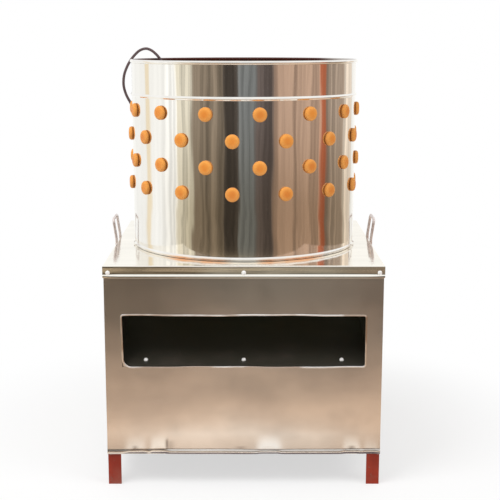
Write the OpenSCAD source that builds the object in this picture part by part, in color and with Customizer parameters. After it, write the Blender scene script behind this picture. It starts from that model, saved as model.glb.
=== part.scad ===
// Poultry plucker: a drum lined with rubber fingers on a sheet-metal cabinet, with a
// belt-driven turntable in the drum's foot. Millimetres, +Z up, front towards -Y.
// The origin is on the floor, under the drum's axis.

/* [Drum] */
// Outside diameter of the drum wall
drum_d = 550; // [480:1:620]
// Height of the rim above the deck
drum_h = 454; // [400:1:520]
// Thickness of the drum sheet
drum_t = 1.5; // [1:0.1:2.5]
// Diameter of the rolled rim
rim_d = 7; // [5:0.5:10]
// Depth of the upper swaged bead below the rim
bead_drop = 84; // [60:1:95]
// How far a swaged bead stands out of the wall
bead_out = 3; // [2:0.5:5]
// Clear height under the lower swaged bead
foot_bead_h = 1; // [0.5:0.5:12]

/* [Rubber fingers] */
// Number of fingers in each ring of the drum wall
finger_n = 14; // [10:1:18]
// Turn of the first ring from the front, in degrees
finger_turn = 7.5; // [0:0.5:25]
// Depth of the first ring below the rim
finger_drop = 119; // [105:1:140]
// Height of the lowest ring above the tips of the turntable's fingers
finger_rise = 62; // [30:1:90]
// Diameter of a finger's head
head_d = 33; // [28:1:38]
// Thickness of a finger's head
head_t = 10; // [6:1:14]
// Diameter of the neck in the hole
neck_d = 20; // [16:1:22]
// Diameter of the collar that snaps in behind the hole
collar_d = 25; // [23:1:27]
// Diameter of the tip
tip_d = 15; // [12:1:18]
// Length of a finger beyond the sheet that holds it
finger_len = 85; // [60:1:105]
// Number of ribs along a finger
rib_n = 6; // [3:1:9]

/* [Turntable] */
// Gap between the turntable's edge and the drum wall
plate_gap = 25; // [16:1:40]
// Thickness of the turntable sheet
plate_t = 4; // [3:0.5:6]
// Height of the turntable's top above the deck
plate_rise = 8; // [4:1:20]
// Depth of the turntable's turned-down rim
plate_rim_h = 20; // [12:1:30]
// Distance from the turntable's edge to its outer ring of fingers
plate_edge = 34; // [28:1:50]
// Clear space between the drive hub's flange and the inner ring of fingers
ring_gap = 22; // [8:1:40]

/* [Cabinet] */
// Height of the deck above the floor
deck_h = 522; // [480:1:580]
// Width of the deck beyond the drum wall on each side
deck_margin = 44; // [38:1:70]
// Thickness of the deck sheet
deck_t = 1.5; // [1:0.1:2.5]
// Height of the deck's turned-down flange
flange_h = 28; // [24:1:40]
// Height of the open space under the panels
panel_z = 77; // [50:1:110]
// Thickness of the panel sheet
panel_t = 1; // [0.8:0.1:2]
// Width of the folded hem under each panel
hem_w = 12; // [8:1:20]
// Distance from the panel's side edge to the feather outlet
outlet_side = 40; // [36:1:80]
// Height of the outlet's sill above the floor
outlet_z = 287; // [270:1:310]
// Height of the feather outlet
outlet_h = 118; // [80:1:150]
// Width of the lip around the outlet
lip_w = 6; // [4:1:10]

/* [Frame] */
// Width of the angle iron
iron_w = 30; // [25:1:40]
// Thickness of the angle iron
iron_t = 3; // [2.5:0.5:4]
// Height of the lower rails' tops above the floor
low_top = 180; // [165:1:200]

/* [Handles] */
// Diameter of the handle rod
rod_d = 7; // [6:0.5:12]
// Height of a handle above the deck
handle_h = 58; // [45:1:80]
// Distance between the two legs of a handle
handle_span = 78; // [50:1:110]
// Distance of a handle's middle behind the drum's axis
handle_y = 39; // [-60:1:80]
// Outward lean of a handle, in degrees
handle_lean = 8; // [0:1:20]

/* [Chute] */
// Thickness of the chute sheet
chute_t = 1.5; // [1:0.1:2.5]
// Depth of the chute's back edge below the deck
chute_fall = 60; // [50:1:80]

/* [Spindle] */
// Diameter of the main shaft in its bearings
shaft_d = 30; // [25:1:35]
// Outside diameter of the bearings
bearing_d = 62; // [58:1:72]
// Width of the bearings
bearing_w = 16; // [14:1:20]
// Outside diameter of the spindle housing
housing_d = 90; // [84:1:104]
// Length of the drive hub below the turntable
hub_len = 56; // [48:1:64]

/* [Drive] */
// Outside diameter of the motor over its fins
motor_d = 144; // [130:1:156]
// Room for the tension bolt between the spindle housing and the motor's front rail
tension_room = 33; // [22:1:40]
// Travel of the motor plate for slackening the belt
motor_travel = 12; // [6:1:16]
// Outside diameter of the motor pulley
motor_pulley_d = 70; // [60:1:85]
// Gap between the two pulleys
pulley_gap = 20; // [12:1:40]
// Top width of the belt
belt_w = 12.5; // [10:0.5:17]
// Height of the belt
belt_h = 8; // [6:0.5:11]
// Depth of the belt's middle below the lower rails' tops
belt_drop = 30; // [28:1:40]

/* [Hidden] */
$fn = 64;

// Clearances
seat_gap = 0.3;
fit_gap = 0.05;
hole_gap = 0.1;
sheet_gap = 0.5;
run_gap = 8;
over = 1;

// Colours
steel = [0.80, 0.79, 0.76];
mirror_steel = [0.86, 0.86, 0.85];
orange = [0.88, 0.48, 0.16];
red_oxide = [0.55, 0.16, 0.10];
bright = [0.90, 0.90, 0.90];
black = [0.08, 0.08, 0.08];
iron_grey = [0.32, 0.33, 0.35];
motor_green = [0.25, 0.36, 0.36];

// Drum and deck
drum_r = drum_d / 2;
drum_in = drum_r - drum_t;
rim_z = deck_h + drum_h;
deck_w = drum_d + 2 * deck_margin;
bead_z = [rim_z - bead_drop, deck_h + foot_bead_h + drum_t + bead_out];
throat_ledge = 4;
throat_r = drum_in - throat_ledge;
throat_drop = 27;
flange_hem_h = 7;
flange_hem_out = 1.2;

// Cabinet walls and frame
body_w = deck_w - 2 * (deck_t + sheet_gap);
iron_out = body_w / 2 - panel_t;
iron_in = iron_out - iron_w;
top_z = deck_h - deck_t;
beam_top = low_top + iron_w;
outlet_half = body_w / 2 - outlet_side;
lip_out = 2.5;

// Deck screws
screw_r = 2.5;
screw_head_r = 4.75;
screw_head_h = 3;
screw_drop = flange_h - flange_hem_h - screw_head_r - seat_gap;
screw_inset = 10;
nut_r = 4.6;
nut_h = 4;
screw_x = [-body_w / 2 + screw_inset, 0, body_w / 2 - screw_inset];

// Fingers
head_bevel = 2.5;
neck_r = neck_d / 2;
collar_h = 6;
rib_out = 1.2;
tip_round = 3;
plate_top = deck_h + plate_rise;
plate_z = plate_top - plate_t;
plate_r = drum_in - plate_gap;
plate_rim_t = 3;
tip_z = plate_top + finger_len;
row_first = rim_z - finger_drop;
row_last = tip_z + finger_rise;
row_pitch = (row_first - row_last) / 3;
finger_step = 360 / finger_n;
wall_back = pow(collar_d / 2, 2) / (2 * drum_in) + seat_gap;
hub_flange_r = 56;
outer_ring_r = plate_r - plate_edge;
inner_ring_r = hub_flange_r + head_d / 2 + ring_gap;
plate_rings = [[outer_ring_r, 24], [(outer_ring_r + inner_ring_r) / 2, 16], [inner_ring_r, 8]];

// Chute
chute_y = -iron_out + seat_gap;
sill_step = 3;
chute_z = outlet_z + sill_step;
chute_back = iron_in;
chute_rear_z = deck_h - chute_fall;
chute_angle = atan2(chute_rear_z - chute_z, chute_back - chute_y);
chute_len = (chute_back - chute_y) / cos(chute_angle);
chute_drop_t = chute_t / cos(chute_angle);
wall_top = top_z - sheet_gap;
wall_notch = 4;
wall_front_top = top_z - iron_w - wall_notch;
support_w = 30;
support_t = 3;
chute_screw_back = 20;
chute_screw_inset = 51;
chute_screw_x = [chute_screw_inset - outlet_half, 0, outlet_half - chute_screw_inset];

// Spindle
shaft_r = shaft_d / 2;
shaft_step = 2;
seat_r = shaft_r - shaft_step;
thread_r = 10;
hub_z = plate_z - hub_len;
hub_flange_t = 10;
hub_boss_r = 28;
hub_bolt_r = 44;
hub_bolt_n = 6;
hub_nut_h = 16;
hub_nut_r = 17;
washer_t = 3;
washer_r = 22;
housing_r = housing_d / 2;
bearing_r = bearing_d / 2;
race_t = 4.5;
ball_n = 9;
seal_w = 7;
housing_drop = 2;
housing_z = low_top - housing_drop;
hub_gap = 32;
housing_top = hub_z - hub_gap;
upper_bearing_z = housing_top - seal_w - bearing_w;
bearing_inset = 4;
lower_bearing_z = housing_z + bearing_inset;
shoulder = 5;
housing_flange_t = 12;
beam_gap = 2;
beam_y = housing_r + beam_gap;
housing_bolt_r = 5;
housing_bolt_out = 15;
housing_bolt_in = 13;
housing_bolt_x = housing_r + housing_bolt_out;
housing_bolt_y = beam_y + housing_bolt_in;
housing_flange_x = housing_bolt_x + 17;
collar_gap = 5;
collar_drop = 15;
collar_in = housing_r + collar_gap;
collar_out = collar_in + chute_t;
collar_top = hub_z - collar_drop;
skirt_in = collar_out + run_gap;
skirt_t = 2.5;
skirt_lap = 12;
skirt_z = collar_top - skirt_lap;

// Belt drive
belt_z = low_top - belt_drop;
motor_plate_l = motor_d + 2;
bracket_t = 8;
slack_gap = 2;
motor_rail_y = beam_y + iron_w + tension_room + bracket_t;
motor_y = motor_rail_y + slack_gap + motor_travel + motor_plate_l / 2;
motor_pulley_r = motor_pulley_d / 2;
pulley_r = motor_y - motor_pulley_r - pulley_gap;
pulley_w = belt_w + 14;
pulley_hub_r = seat_r + 18;
web_t = 6;
rim_depth = 22;
belt_sink = 1;
belt_slope = 0.27;
groove_gap = 0.4;
groove_depth = belt_h + belt_sink + 3;
belt_angle = asin((pulley_r - motor_pulley_r) / motor_y);
belt_run = motor_y * cos(belt_angle);
shaft_low = belt_z - pulley_w / 2 - 8;
shaft_top = plate_top + washer_t + hub_nut_h + 7;

// Motor
motor_r = motor_d / 2;
fin_h = 6;
fin_n = 24;
fin_t = 2.5;
motor_wall = 6;
motor_can_r = motor_r - fin_h;
motor_plate_t = 8;
clamp_r = 4;
clamp_out = 13;
clamp_edge = 15;
clamp_x = motor_r + clamp_out;
plate_half_x = clamp_x + clamp_edge;
rail_bolt_in = 22;
slot_edge = 9;
rear_bolt_in = 13;
clamp_front_y = motor_rail_y + rail_bolt_in;
clamp_rear_y = motor_y + motor_plate_l / 2 - motor_travel - slot_edge;
rear_rail_y = clamp_rear_y + rear_bolt_in;
motor_z = beam_top + motor_plate_t;
motor_reach_y = motor_y - motor_r - motor_travel;
motor_top = chute_z + (motor_reach_y - chute_y) * tan(chute_angle) - chute_drop_t - run_gap;
low_bell_h = 24;
frame_z = motor_z + low_bell_h;
cowl_h = 52;
up_bell_h = 20;
cowl_lap = 10;
frame_top = motor_top - cowl_h - cowl_lap;
motor_shaft_r = 10;
motor_bearing_r = 23.5;
motor_bearing_w = 14;
core_r = 37.4;
air_gap = 0.6;
end_turn = 10;
cowl_t = 1.5;
motor_bolt_x = 54;
motor_bolt_y = 20;
box_depth = 40;
box_width = 66;
box_height = 70;
box_t = 2.5;
box_z = (frame_z + frame_top) / 2;
bracket_w = 40;
tension_r = 4;
tension_z = beam_top + tension_r + 2 * seat_gap;

// Mains lead: its route in three stretches and a coil, lying where it is put away. The routes are
// drawn for a machine of the sizes below and follow it when it changes.
drawn_body = 634;
drawn_deck = 522;
drawn_rim = 976;
plan_k = body_w / drawn_body;
height_map = [
    [0, 0], [drawn_deck, deck_h], [drawn_deck + 78, deck_h + 78],
    [drawn_rim - 176, rim_z - 176], [drawn_rim + 124, rim_z + 124]
];
function placed(p) = [p[0] * plan_k, p[1] * plan_k, lookup(p[2], height_map)];
lead_d = 7;
lead_r = lead_d / 2;
gland_at = placed([-200, 0, 440]);
gland_hole_r = 8;
gland_in = 13;
relief_len = 28;
tie_t = 0.9;
tie_w = 5;
coil_pitch = 7.6;
coil_r = 45.6;
coil_turns = 4;
coil_steps = 24;
coil_in = placed([-284, 242, drawn_deck]);
coil_z = deck_h + 2 * seat_gap + tie_t + lead_r;
coil_centre = [coil_in[0] + coil_r, coil_in[1]];
plug_at = placed([-183, 176, 835]);
plug_turn = -133.9;
plug_r = 19;
plug_len = 34;
plug_relief = 30;
pin_r = 2.4;
pin_len = 19;
pin_x = 9.5;

rear_route = [
    [-200, 349, 440], [-200, 362, 440], [-200, 376, 436], [-202, 387, 425], [-205, 391, 409],
    [-211, 390, 393], [-220, 385, 380], [-232, 378, 373], [-245, 372, 373], [-257, 367, 381],
    [-266, 363, 395], [-272, 361, 413], [-277, 359, 436], [-280, 358, 462], [-282, 358, 488],
    [-284, 357, 512], [-284, 351, 533], [-284, 338, 546], [-284, 322, 549], [-284, 307, 544],
    [-284, 293, 535], [-284, 278, 529], [-284, 266, 527], [-284, 257, 527], [-284, 249, 527]
];
rise_route = [
    [-284, 235, 534.6], [-284, 225, 534.6], [-284, 211, 537], [-284, 199, 544], [-284, 190, 556],
    [-284, 186, 574], [-284, 185, 600], [-284, 185, 640], [-284, 185, 690], [-284, 185, 740],
    [-284, 185, 785], [-286, 185, 815], [-291, 184, 840], [-300, 182, 860], [-310, 180, 880],
    [-316, 178, 903], [-315, 175, 926], [-309, 173, 946], [-299, 170, 965], [-286, 167, 982],
    [-271, 163, 995], [-255, 160, 1000], [-241, 157, 996], [-229, 154, 987], [-219, 151, 976],
    [-211, 153, 963], [-205, 158, 949], [-198, 164, 935], [-190, 170, 922], [-185, 175, 911],
    [-183, 176, 905], [-183, 176, 899]
];
inner_route = [
    [-200, 304, 440], [-200, 294, 440], [-197, 281, 435], [-188, 272, 421], [-174, 270, 402],
    [-157, 272, 383], [-139, 275, 364], [-121, 274, 346], [-106, 266, 331], [-96, 254, 322],
    [-92, 245, 320], [-92, 238, 320]
];
rear_path = [for (p = rear_route) placed(p)];
rise_path = [for (p = rise_route) placed(p)];
inner_last = len(inner_route) - 1;
inner_start = [gland_at[0], body_w / 2 - gland_in, gland_at[2]];
inner_end = [-motor_r - box_depth / 2, motor_y + box_width / 2 + seat_gap, box_z + box_height / 2 - 8];
inner_path = [
    for (i = [0:inner_last])
        let (far = max(0, min(1, (i - 1) / (inner_last - 2))))
            inner_route[i] + (1 - far) * (inner_start - inner_route[0])
                + far * (inner_end - inner_route[inner_last])
];

// Tube along a list of points: a ring of corners at each point, square to the path there
function unit(v) = v / norm(v);
function path_dir(p, i) = unit(p[min(i + 1, len(p) - 1)] - p[max(i - 1, 0)]);
function square_to(v, t) = unit(v - (v * t) * t);
function path_sides(p, i = 0, done = []) =
    i == len(p) ? done
    : path_sides(p, i + 1, concat(done, [square_to(i == 0 ? [1, 0.1, 0.2] : done[i - 1], path_dir(p, i))]));

module tube(path, r, sides) {
    last = len(path) - 1;
    side_dirs = path_sides(path);
    corners = [
        for (i = [0:last])
            let (t = path_dir(path, i), a = side_dirs[i], b = cross(t, a))
                for (j = [0:sides - 1])
                    path[i] + r * (cos(360 * j / sides) * a + sin(360 * j / sides) * b)
    ];
    skin = [
        for (i = [0:last - 1], j = [0:sides - 1])
            let (k = (j + 1) % sides, lo = i * sides, hi = lo + sides)
                each [[lo + j, hi + j, hi + k], [lo + j, hi + k, lo + k]]
    ];
    start_cap = [for (j = [1:sides - 2]) [0, j, j + 1]];
    end_cap = [for (j = [1:sides - 2]) [last * sides, last * sides + j + 1, last * sides + j]];
    polyhedron(points = corners, faces = concat(skin, start_cap, end_cap));
}

// Centre line of the coil: it spirals in on the deck, climbs and spirals out on top
coil_climb = 0.25;
function ease(x) = let (c = max(0, min(1, x))) c * c * (3 - 2 * c);
function coil_point(t) =
    let (
        a = 180 + 360 * t,
        r = coil_r - coil_pitch * min(t, coil_turns - t),
        up = ease((t - coil_turns / 2 + coil_climb) / (2 * coil_climb))
    )
    [coil_centre[0] + r * cos(a), coil_centre[1] + r * sin(a), coil_z + coil_pitch * up];
coil_path = concat(
    [rear_path[len(rear_path) - 1]],
    [for (k = [0:coil_turns * coil_steps]) coil_point(k / coil_steps)],
    [rise_path[0]]
);
coil_gap = min([
    for (i = [0:len(coil_path) - 1], j = [i + coil_steps / 2:1:len(coil_path) - 1])
        norm(coil_path[i] - coil_path[j])
]) - lead_d;
echo(coil_gap = coil_gap);

// Angle iron along X with its outer, upper edge on the axis and its flanges towards +Y and -Z
module angle_bar(len) {
    rotate([90, 0, 90])
        linear_extrude(len, center = true)
            polygon([[0, 0], [iron_w, 0], [iron_w, -iron_t], [iron_t, -iron_t], [iron_t, -iron_w], [0, -iron_w]]);
}

// Children turned to each of the four sides: front, right, rear and left
module on_each_side() {
    for (a = [0:90:270])
        rotate([0, 0, a])
            children();
}

// Hexagon of a bolt head or nut, by the radius over its corners
module hexagon(r, h) {
    cylinder(r = r, h = h, $fn = 6);
}

// Bolt standing on z = 0 with its head above and a nut below the clamped thickness
module bolt_and_nut(r, head_r, head_h, grip, nut_h) {
    union() {
        hexagon(head_r, head_h);
        translate([0, 0, -grip - nut_h - 3])
            cylinder(r = r, h = grip + nut_h + 3 + over);
    }
    translate([0, 0, -grip - nut_h])
        difference() {
            hexagon(head_r, nut_h);
            translate([0, 0, -over])
                cylinder(r = r + fit_gap, h = nut_h + 2 * over);
        }
}

// Pan-head screw along +Z from its head's seat, pointing down, with a nut behind the grip
module pan_screw(grip) {
    rotate_extrude()
        polygon([
            [0, screw_head_h], [screw_head_r - 2, screw_head_h], [screw_head_r, screw_head_h - 1.6],
            [screw_head_r, 0], [screw_r, 0], [screw_r, -grip - nut_h - 2], [0, -grip - nut_h - 2]
        ]);
    translate([0, 0, -grip - nut_h])
        difference() {
            hexagon(nut_r, nut_h);
            translate([0, 0, -over])
                cylinder(r = screw_r + fit_gap, h = nut_h + 2 * over);
        }
}

// Holes of the deck screws through the front and rear flanges and what lies behind them
module deck_screw_holes() {
    for (x = screw_x)
        translate([x, 0, deck_h - screw_drop])
            rotate([90, 0, 0])
                cylinder(r = screw_r + hole_gap, h = deck_w + 20, center = true);
}

module legs() {
    color(red_oxide)
        difference() {
            for (sx = [0, 1], sy = [0, 1])
                mirror([sx, 0, 0])
                    mirror([0, sy, 0])
                        translate([-iron_out, -iron_out, 0])
                            linear_extrude(top_z)
                                polygon([
                                    [0, 0], [iron_w, 0], [iron_w, iron_t],
                                    [iron_t, iron_t], [iron_t, iron_w], [0, iron_w]
                                ]);
            deck_screw_holes();
        }
}

module top_rails() {
    color(red_oxide)
        difference() {
            on_each_side()
                translate([0, -iron_out, top_z])
                    angle_bar(2 * iron_in);
            deck_screw_holes();
        }
}

module lower_rails() {
    color(red_oxide)
        on_each_side()
            translate([0, -iron_out, low_top])
                angle_bar(2 * iron_in);
}

module housing_bolt_places() {
    for (sx = [-1, 1], sy = [-1, 1])
        translate([sx * housing_bolt_x, sy * housing_bolt_y, 0])
            children();
}

module bearing_beams() {
    color(red_oxide)
        difference() {
            for (a = [0, 180])
                rotate([0, 0, a])
                    translate([0, -beam_y - iron_w, beam_top])
                        angle_bar(2 * (iron_out - panel_t));
            housing_bolt_places()
                cylinder(r = housing_bolt_r + hole_gap, h = beam_top + over);
        }
}

module clamp_places() {
    for (sx = [-1, 1], y = [clamp_front_y, clamp_rear_y])
        translate([sx * clamp_x, y, 0])
            children();
}

// Two rails across the cabinet for the motor plate, with the tension bolt's bracket on the front one
module motor_rails() {
    color(red_oxide)
        difference() {
            union() {
                translate([0, motor_rail_y, beam_top])
                    angle_bar(2 * (iron_out - panel_t));
                translate([0, rear_rail_y, beam_top])
                    mirror([0, 1, 0])
                        angle_bar(2 * (iron_out - panel_t));
                translate([-bracket_w / 2, motor_rail_y - bracket_t, beam_top - iron_w])
                    cube([bracket_w, bracket_t, tension_z - beam_top + iron_w + 14]);
            }
            clamp_places()
                cylinder(r = clamp_r + hole_gap, h = beam_top + over);
            translate([0, motor_rail_y, tension_z])
                rotate([90, 0, 0])
                    cylinder(r = tension_r + hole_gap, h = 2 * bracket_t + 2, center = true);
        }
}

// Flat panel on the front side with a hem folded in along its lower edge, between the legs
module panel_sheet(len) {
    translate([-len / 2, -body_w / 2, panel_z])
        cube([len, panel_t, top_z - sheet_gap - panel_z]);
    translate([-iron_in + 1, -body_w / 2, panel_z])
        cube([2 * iron_in - 2, panel_t + hem_w, panel_t]);
}

module front_panel() {
    color(steel)
        difference() {
            panel_sheet(body_w);
            translate([-outlet_half - panel_t, -body_w / 2 - over, outlet_z - panel_t])
                cube([2 * (outlet_half + panel_t), panel_t + 2 * over, outlet_h + 2 * panel_t]);
            deck_screw_holes();
        }
}

module rear_panel() {
    color(steel)
        difference() {
            rotate([0, 0, 180])
                panel_sheet(body_w);
            deck_screw_holes();
            translate([gland_at[0], body_w / 2, gland_at[2]])
                rotate([90, 0, 0])
                    cylinder(r = gland_hole_r, h = 4 * panel_t, center = true);
        }
}

module left_panel() {
    color(steel)
        rotate([0, 0, -90])
            panel_sheet(body_w - 2 * panel_t);
}

module right_panel() {
    color(steel)
        rotate([0, 0, 90])
            panel_sheet(body_w - 2 * panel_t);
}

// Folded lip around the outlet: a flange on the panel's face and a throat through its cut-out
module outlet_lip() {
    throat = [2 * (outlet_half + panel_t), panel_t, outlet_h + 2 * panel_t];
    color(bright)
        difference() {
            union() {
                translate([-outlet_half - lip_w, -body_w / 2 - lip_out, outlet_z - lip_w])
                    cube([2 * (outlet_half + lip_w), lip_out, outlet_h + 2 * lip_w]);
                translate([-outlet_half - panel_t, -body_w / 2, outlet_z - panel_t])
                    cube(throat);
            }
            translate([-outlet_half, -body_w / 2 - lip_out - over, outlet_z])
                cube([2 * outlet_half, lip_out + panel_t + 2 * over, outlet_h]);
        }
}

// Square ring around the deck, given its half width outside and its wall
module square_ring(half, wall, z, h) {
    translate([0, 0, z])
        difference() {
            translate([-half, -half, 0])
                cube([2 * half, 2 * half, h]);
            translate([wall - half, wall - half, -over])
                cube([2 * (half - wall), 2 * (half - wall), h + 2 * over]);
        }
}

module deck_cover() {
    color(mirror_steel)
        difference() {
            union() {
                translate([-deck_w / 2, -deck_w / 2, top_z])
                    cube([deck_w, deck_w, deck_t]);
                square_ring(deck_w / 2, deck_t, deck_h - flange_h, flange_h);
                square_ring(deck_w / 2 + flange_hem_out, deck_t + flange_hem_out,
                    deck_h - flange_h, flange_hem_h);
            }
            translate([0, 0, top_z - over])
                cylinder(r = throat_r, h = deck_t + 2 * over, $fn = 128);
            deck_screw_holes();
        }
}

// Ring under the deck's throat that leads feathers down into the chute
module throat_ring() {
    color(mirror_steel)
        ring(throat_r, throat_r + deck_t, deck_h - throat_drop, throat_drop - deck_t, 128);
}

module deck_screws() {
    grip = deck_t + sheet_gap + panel_t + iron_t;
    color(bright)
        for (a = [0, 180], x = screw_x)
            rotate([0, 0, a])
                translate([x, -deck_w / 2, deck_h - screw_drop])
                    rotate([90, 0, 0])
                        pan_screw(grip);
}

// Bent-rod handle on the right side: two feet on the deck's flange and a leaning loop.
// The rod is a little slimmer in its bends, which run a short way into the straight stretches.
module handle() {
    rod_r = rod_d / 2;
    bend = rod_d * 1.5;
    bend_r = rod_r - 0.06;
    lap = asin(0.8 / bend);
    foot_z = deck_h - flange_h + flange_hem_h + 3;
    elbow_z = deck_h + 3;
    loop_h = (deck_h + handle_h - rod_r - elbow_z) / cos(handle_lean) - bend * tan(handle_lean);
    arm_y = handle_span / 2;
    top_y = arm_y - bend;
    translate([deck_w / 2 + rod_r, handle_y, 0]) {
        for (y = [-arm_y, arm_y]) {
            translate([0, y, foot_z])
                cylinder(r = rod_r, h = elbow_z - foot_z);
            translate([bend, y, elbow_z])
                rotate([90, 0, 0])
                    rotate([0, 0, 180 - handle_lean - lap])
                        rotate_extrude(angle = handle_lean + 2 * lap)
                            translate([bend, 0])
                                circle(r = bend_r);
        }
        translate([bend, 0, elbow_z])
            rotate([0, handle_lean, 0])
                translate([-bend, 0, 0]) {
                    for (y = [-arm_y, arm_y])
                        translate([0, y, 0])
                            cylinder(r = rod_r, h = loop_h - bend);
                    for (a = [0, 90])
                        translate([0, a == 0 ? top_y : -top_y, loop_h - bend])
                            rotate([90, 0, 90])
                                rotate([0, 0, a - lap])
                                    rotate_extrude(angle = 90 + 2 * lap)
                                        translate([bend, 0])
                                            circle(r = bend_r);
                    translate([0, top_y, loop_h])
                        rotate([90, 0, 0])
                            cylinder(r = rod_r, h = 2 * top_y);
                }
    }
}

module handle_right() {
    color(steel)
        handle();
}

module handle_left() {
    color(steel)
        mirror([1, 0, 0])
            handle();
}

// Wall finger places on one ring, each with +Z pointing into the drum from the wall's outside
module wall_finger_places(row) {
    for (k = [0:finger_n - 1])
        rotate([0, 0, finger_turn + finger_step * (k - (row - 1) % 2 / 2)])
            translate([0, -drum_r, row_first - (row - 1) * row_pitch])
                rotate([0, 90, 90])
                    children();
}

// Section of the drum wall with its beads, rolled rim and turned-in foot
module drum_section() {
    difference() {
        union() {
            translate([drum_in, deck_h])
                square([drum_t, drum_h - rim_d / 2]);
            translate([drum_r, rim_z - rim_d / 2])
                circle(d = rim_d);
            for (z = bead_z)
                translate([drum_in, z])
                    circle(r = drum_t + bead_out);
        }
        for (z = bead_z)
            translate([drum_in, z])
                circle(r = bead_out);
        translate([0, deck_h - over])
            square([drum_in, drum_h - rim_d - bead_out]);
    }
    translate([throat_r, deck_h])
        square([drum_r - throat_r, drum_t]);
}

module drum_shell() {
    color(mirror_steel)
        difference() {
            rotate_extrude($fn = 128)
                drum_section();
            for (row = [1:4])
                wall_finger_places(row)
                    translate([0, 0, -over])
                        cylinder(r = neck_r + hole_gap, h = drum_t + wall_back + 2 * over);
        }
}

// Rubber finger on +Z: its head lies below z = 0 and its neck fills a sheet of the given thickness
module finger(sheet) {
    body_z = sheet + collar_h;
    rib_step = (finger_len - collar_h - tip_round) / rib_n;
    body = function (z) collar_d / 2 - 2 - (collar_d - 4 - tip_d) / 2 * (z - body_z) / (finger_len - collar_h);
    ribs = [
        for (i = [0:rib_n - 1])
            let (z = body_z + i * rib_step)
                each [[body(z), z], [body(z + rib_step / 2) + rib_out, z + rib_step / 2]]
    ];
    rotate_extrude($fn = 32)
        polygon(concat(
            [[0, -head_t], [head_d / 2 - head_bevel, -head_t], [head_d / 2, head_bevel - head_t],
             [head_d / 2, -1], [head_d / 2 - 1, 0], [neck_r, 0], [neck_r, sheet],
             [collar_d / 2, sheet], [collar_d / 2, body_z]],
            ribs,
            [[tip_d / 2, sheet + finger_len - tip_round], [tip_d / 2 - tip_round, sheet + finger_len],
             [0, sheet + finger_len]]
        ));
}

module wall_fingers(row) {
    color(orange)
        wall_finger_places(row)
            finger(drum_t + wall_back);
}

// Children moved into the chute's slope: z = 0 is the floor's top, y = 0 its front edge
module on_chute() {
    translate([0, chute_y, chute_z])
        rotate([chute_angle, 0, 0])
            children();
}

module chute_screw_places() {
    for (x = chute_screw_x)
        on_chute()
            translate([x, chute_screw_back, 0])
                children();
}

// Sloping sheet with an upright collar that keeps water away from the spindle
module chute_floor() {
    color(black)
        difference() {
            union() {
                on_chute()
                    translate([-iron_in, 0, -chute_t])
                        cube([2 * iron_in, chute_len, chute_t]);
                difference() {
                    translate([0, 0, chute_z])
                        cylinder(r = collar_out, h = collar_top - chute_z);
                    on_chute()
                        translate([-iron_in, -chute_len, -chute_len - chute_t / 2])
                            cube([2 * iron_in, 3 * chute_len, chute_len]);
                }
            }
            translate([0, 0, chute_z - over])
                cylinder(r = collar_in, h = collar_top - chute_z + 2 * over);
            translate([-iron_in - over, chute_back, chute_z])
                cube([2 * iron_in + 2 * over, iron_w, deck_h]);
            chute_screw_places()
                cylinder(r = screw_r + hole_gap, h = 4 * chute_t, center = true);
        }
}

// Height of the chute floor's top at a distance along Y
function floor_z(y) = chute_z + (y - chute_y) * tan(chute_angle);

module chute_walls() {
    side_back = chute_back - chute_t;
    color(black) {
        for (m = [0, 1])
            mirror([m, 0, 0])
                translate([iron_in - chute_t, 0, 0])
                    rotate([90, 0, 90])
                        linear_extrude(chute_t)
                            polygon([
                                [chute_y, floor_z(chute_y)], [side_back, floor_z(side_back)],
                                [side_back, wall_top], [-iron_in + 1, wall_top],
                                [-iron_in + 1, wall_front_top], [chute_y, wall_front_top]
                            ]);
        rotate([90, 0, 90])
            linear_extrude(2 * iron_in, center = true)
                polygon([
                    [side_back, floor_z(side_back)], [chute_back, floor_z(chute_back)],
                    [chute_back, wall_top], [side_back, wall_top]
                ]);
    }
}

// Folded bar behind the outlet's sill: one flange on the panel, the other under the chute floor
module chute_support() {
    under = function (y) floor_z(y) - chute_drop_t;
    back = -iron_out + support_w;
    color(red_oxide)
        difference() {
            rotate([90, 0, 90])
                linear_extrude(2 * iron_in - 2 * over, center = true)
                    polygon([
                        [-iron_out, under(-iron_out)], [back, under(back)], [back, under(back) - support_t],
                        [support_t - iron_out, under(support_t - iron_out) - support_t],
                        [support_t - iron_out, under(-iron_out) - support_w],
                        [-iron_out, under(-iron_out) - support_w]
                    ]);
            chute_screw_places()
                cylinder(r = screw_r + hole_gap, h = 20, center = true);
        }
}

module chute_screws() {
    color(bright)
        chute_screw_places()
            pan_screw(chute_t + support_t + seat_gap);
}

module spindle_housing() {
    color(iron_grey)
        difference() {
            union() {
                translate([0, 0, housing_z])
                    cylinder(r = housing_r, h = housing_top - housing_z);
                translate([-housing_flange_x, -beam_y - iron_w, beam_top])
                    cube([2 * housing_flange_x, 2 * (beam_y + iron_w), housing_flange_t]);
            }
            translate([0, 0, housing_z - over])
                cylinder(r = bearing_r - shoulder, h = housing_top - housing_z + 2 * over);
            translate([0, 0, housing_z - over])
                cylinder(r = bearing_r + fit_gap, h = lower_bearing_z + bearing_w - housing_z + over);
            translate([0, 0, upper_bearing_z])
                cylinder(r = bearing_r + fit_gap, h = housing_top - upper_bearing_z + over);
            housing_bolt_places()
                cylinder(r = housing_bolt_r + hole_gap, h = deck_h);
        }
}

module housing_bolts() {
    color(bright)
        housing_bolt_places()
            translate([0, 0, beam_top + housing_flange_t])
                bolt_and_nut(housing_bolt_r, 9.2, 7, housing_flange_t + iron_t, 8);
}

// Plain ring between two radii
module ring(r_in, r_out, z, h, steps = 64) {
    translate([0, 0, z])
        difference() {
            cylinder(r = r_out, h = h, $fn = steps);
            translate([0, 0, -over])
                cylinder(r = r_in, h = h + 2 * over, $fn = steps);
        }
}

module bearing_outer_races() {
    color(bright)
        for (z = [lower_bearing_z, upper_bearing_z])
            ring(bearing_r - race_t, bearing_r, z, bearing_w);
}

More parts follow.
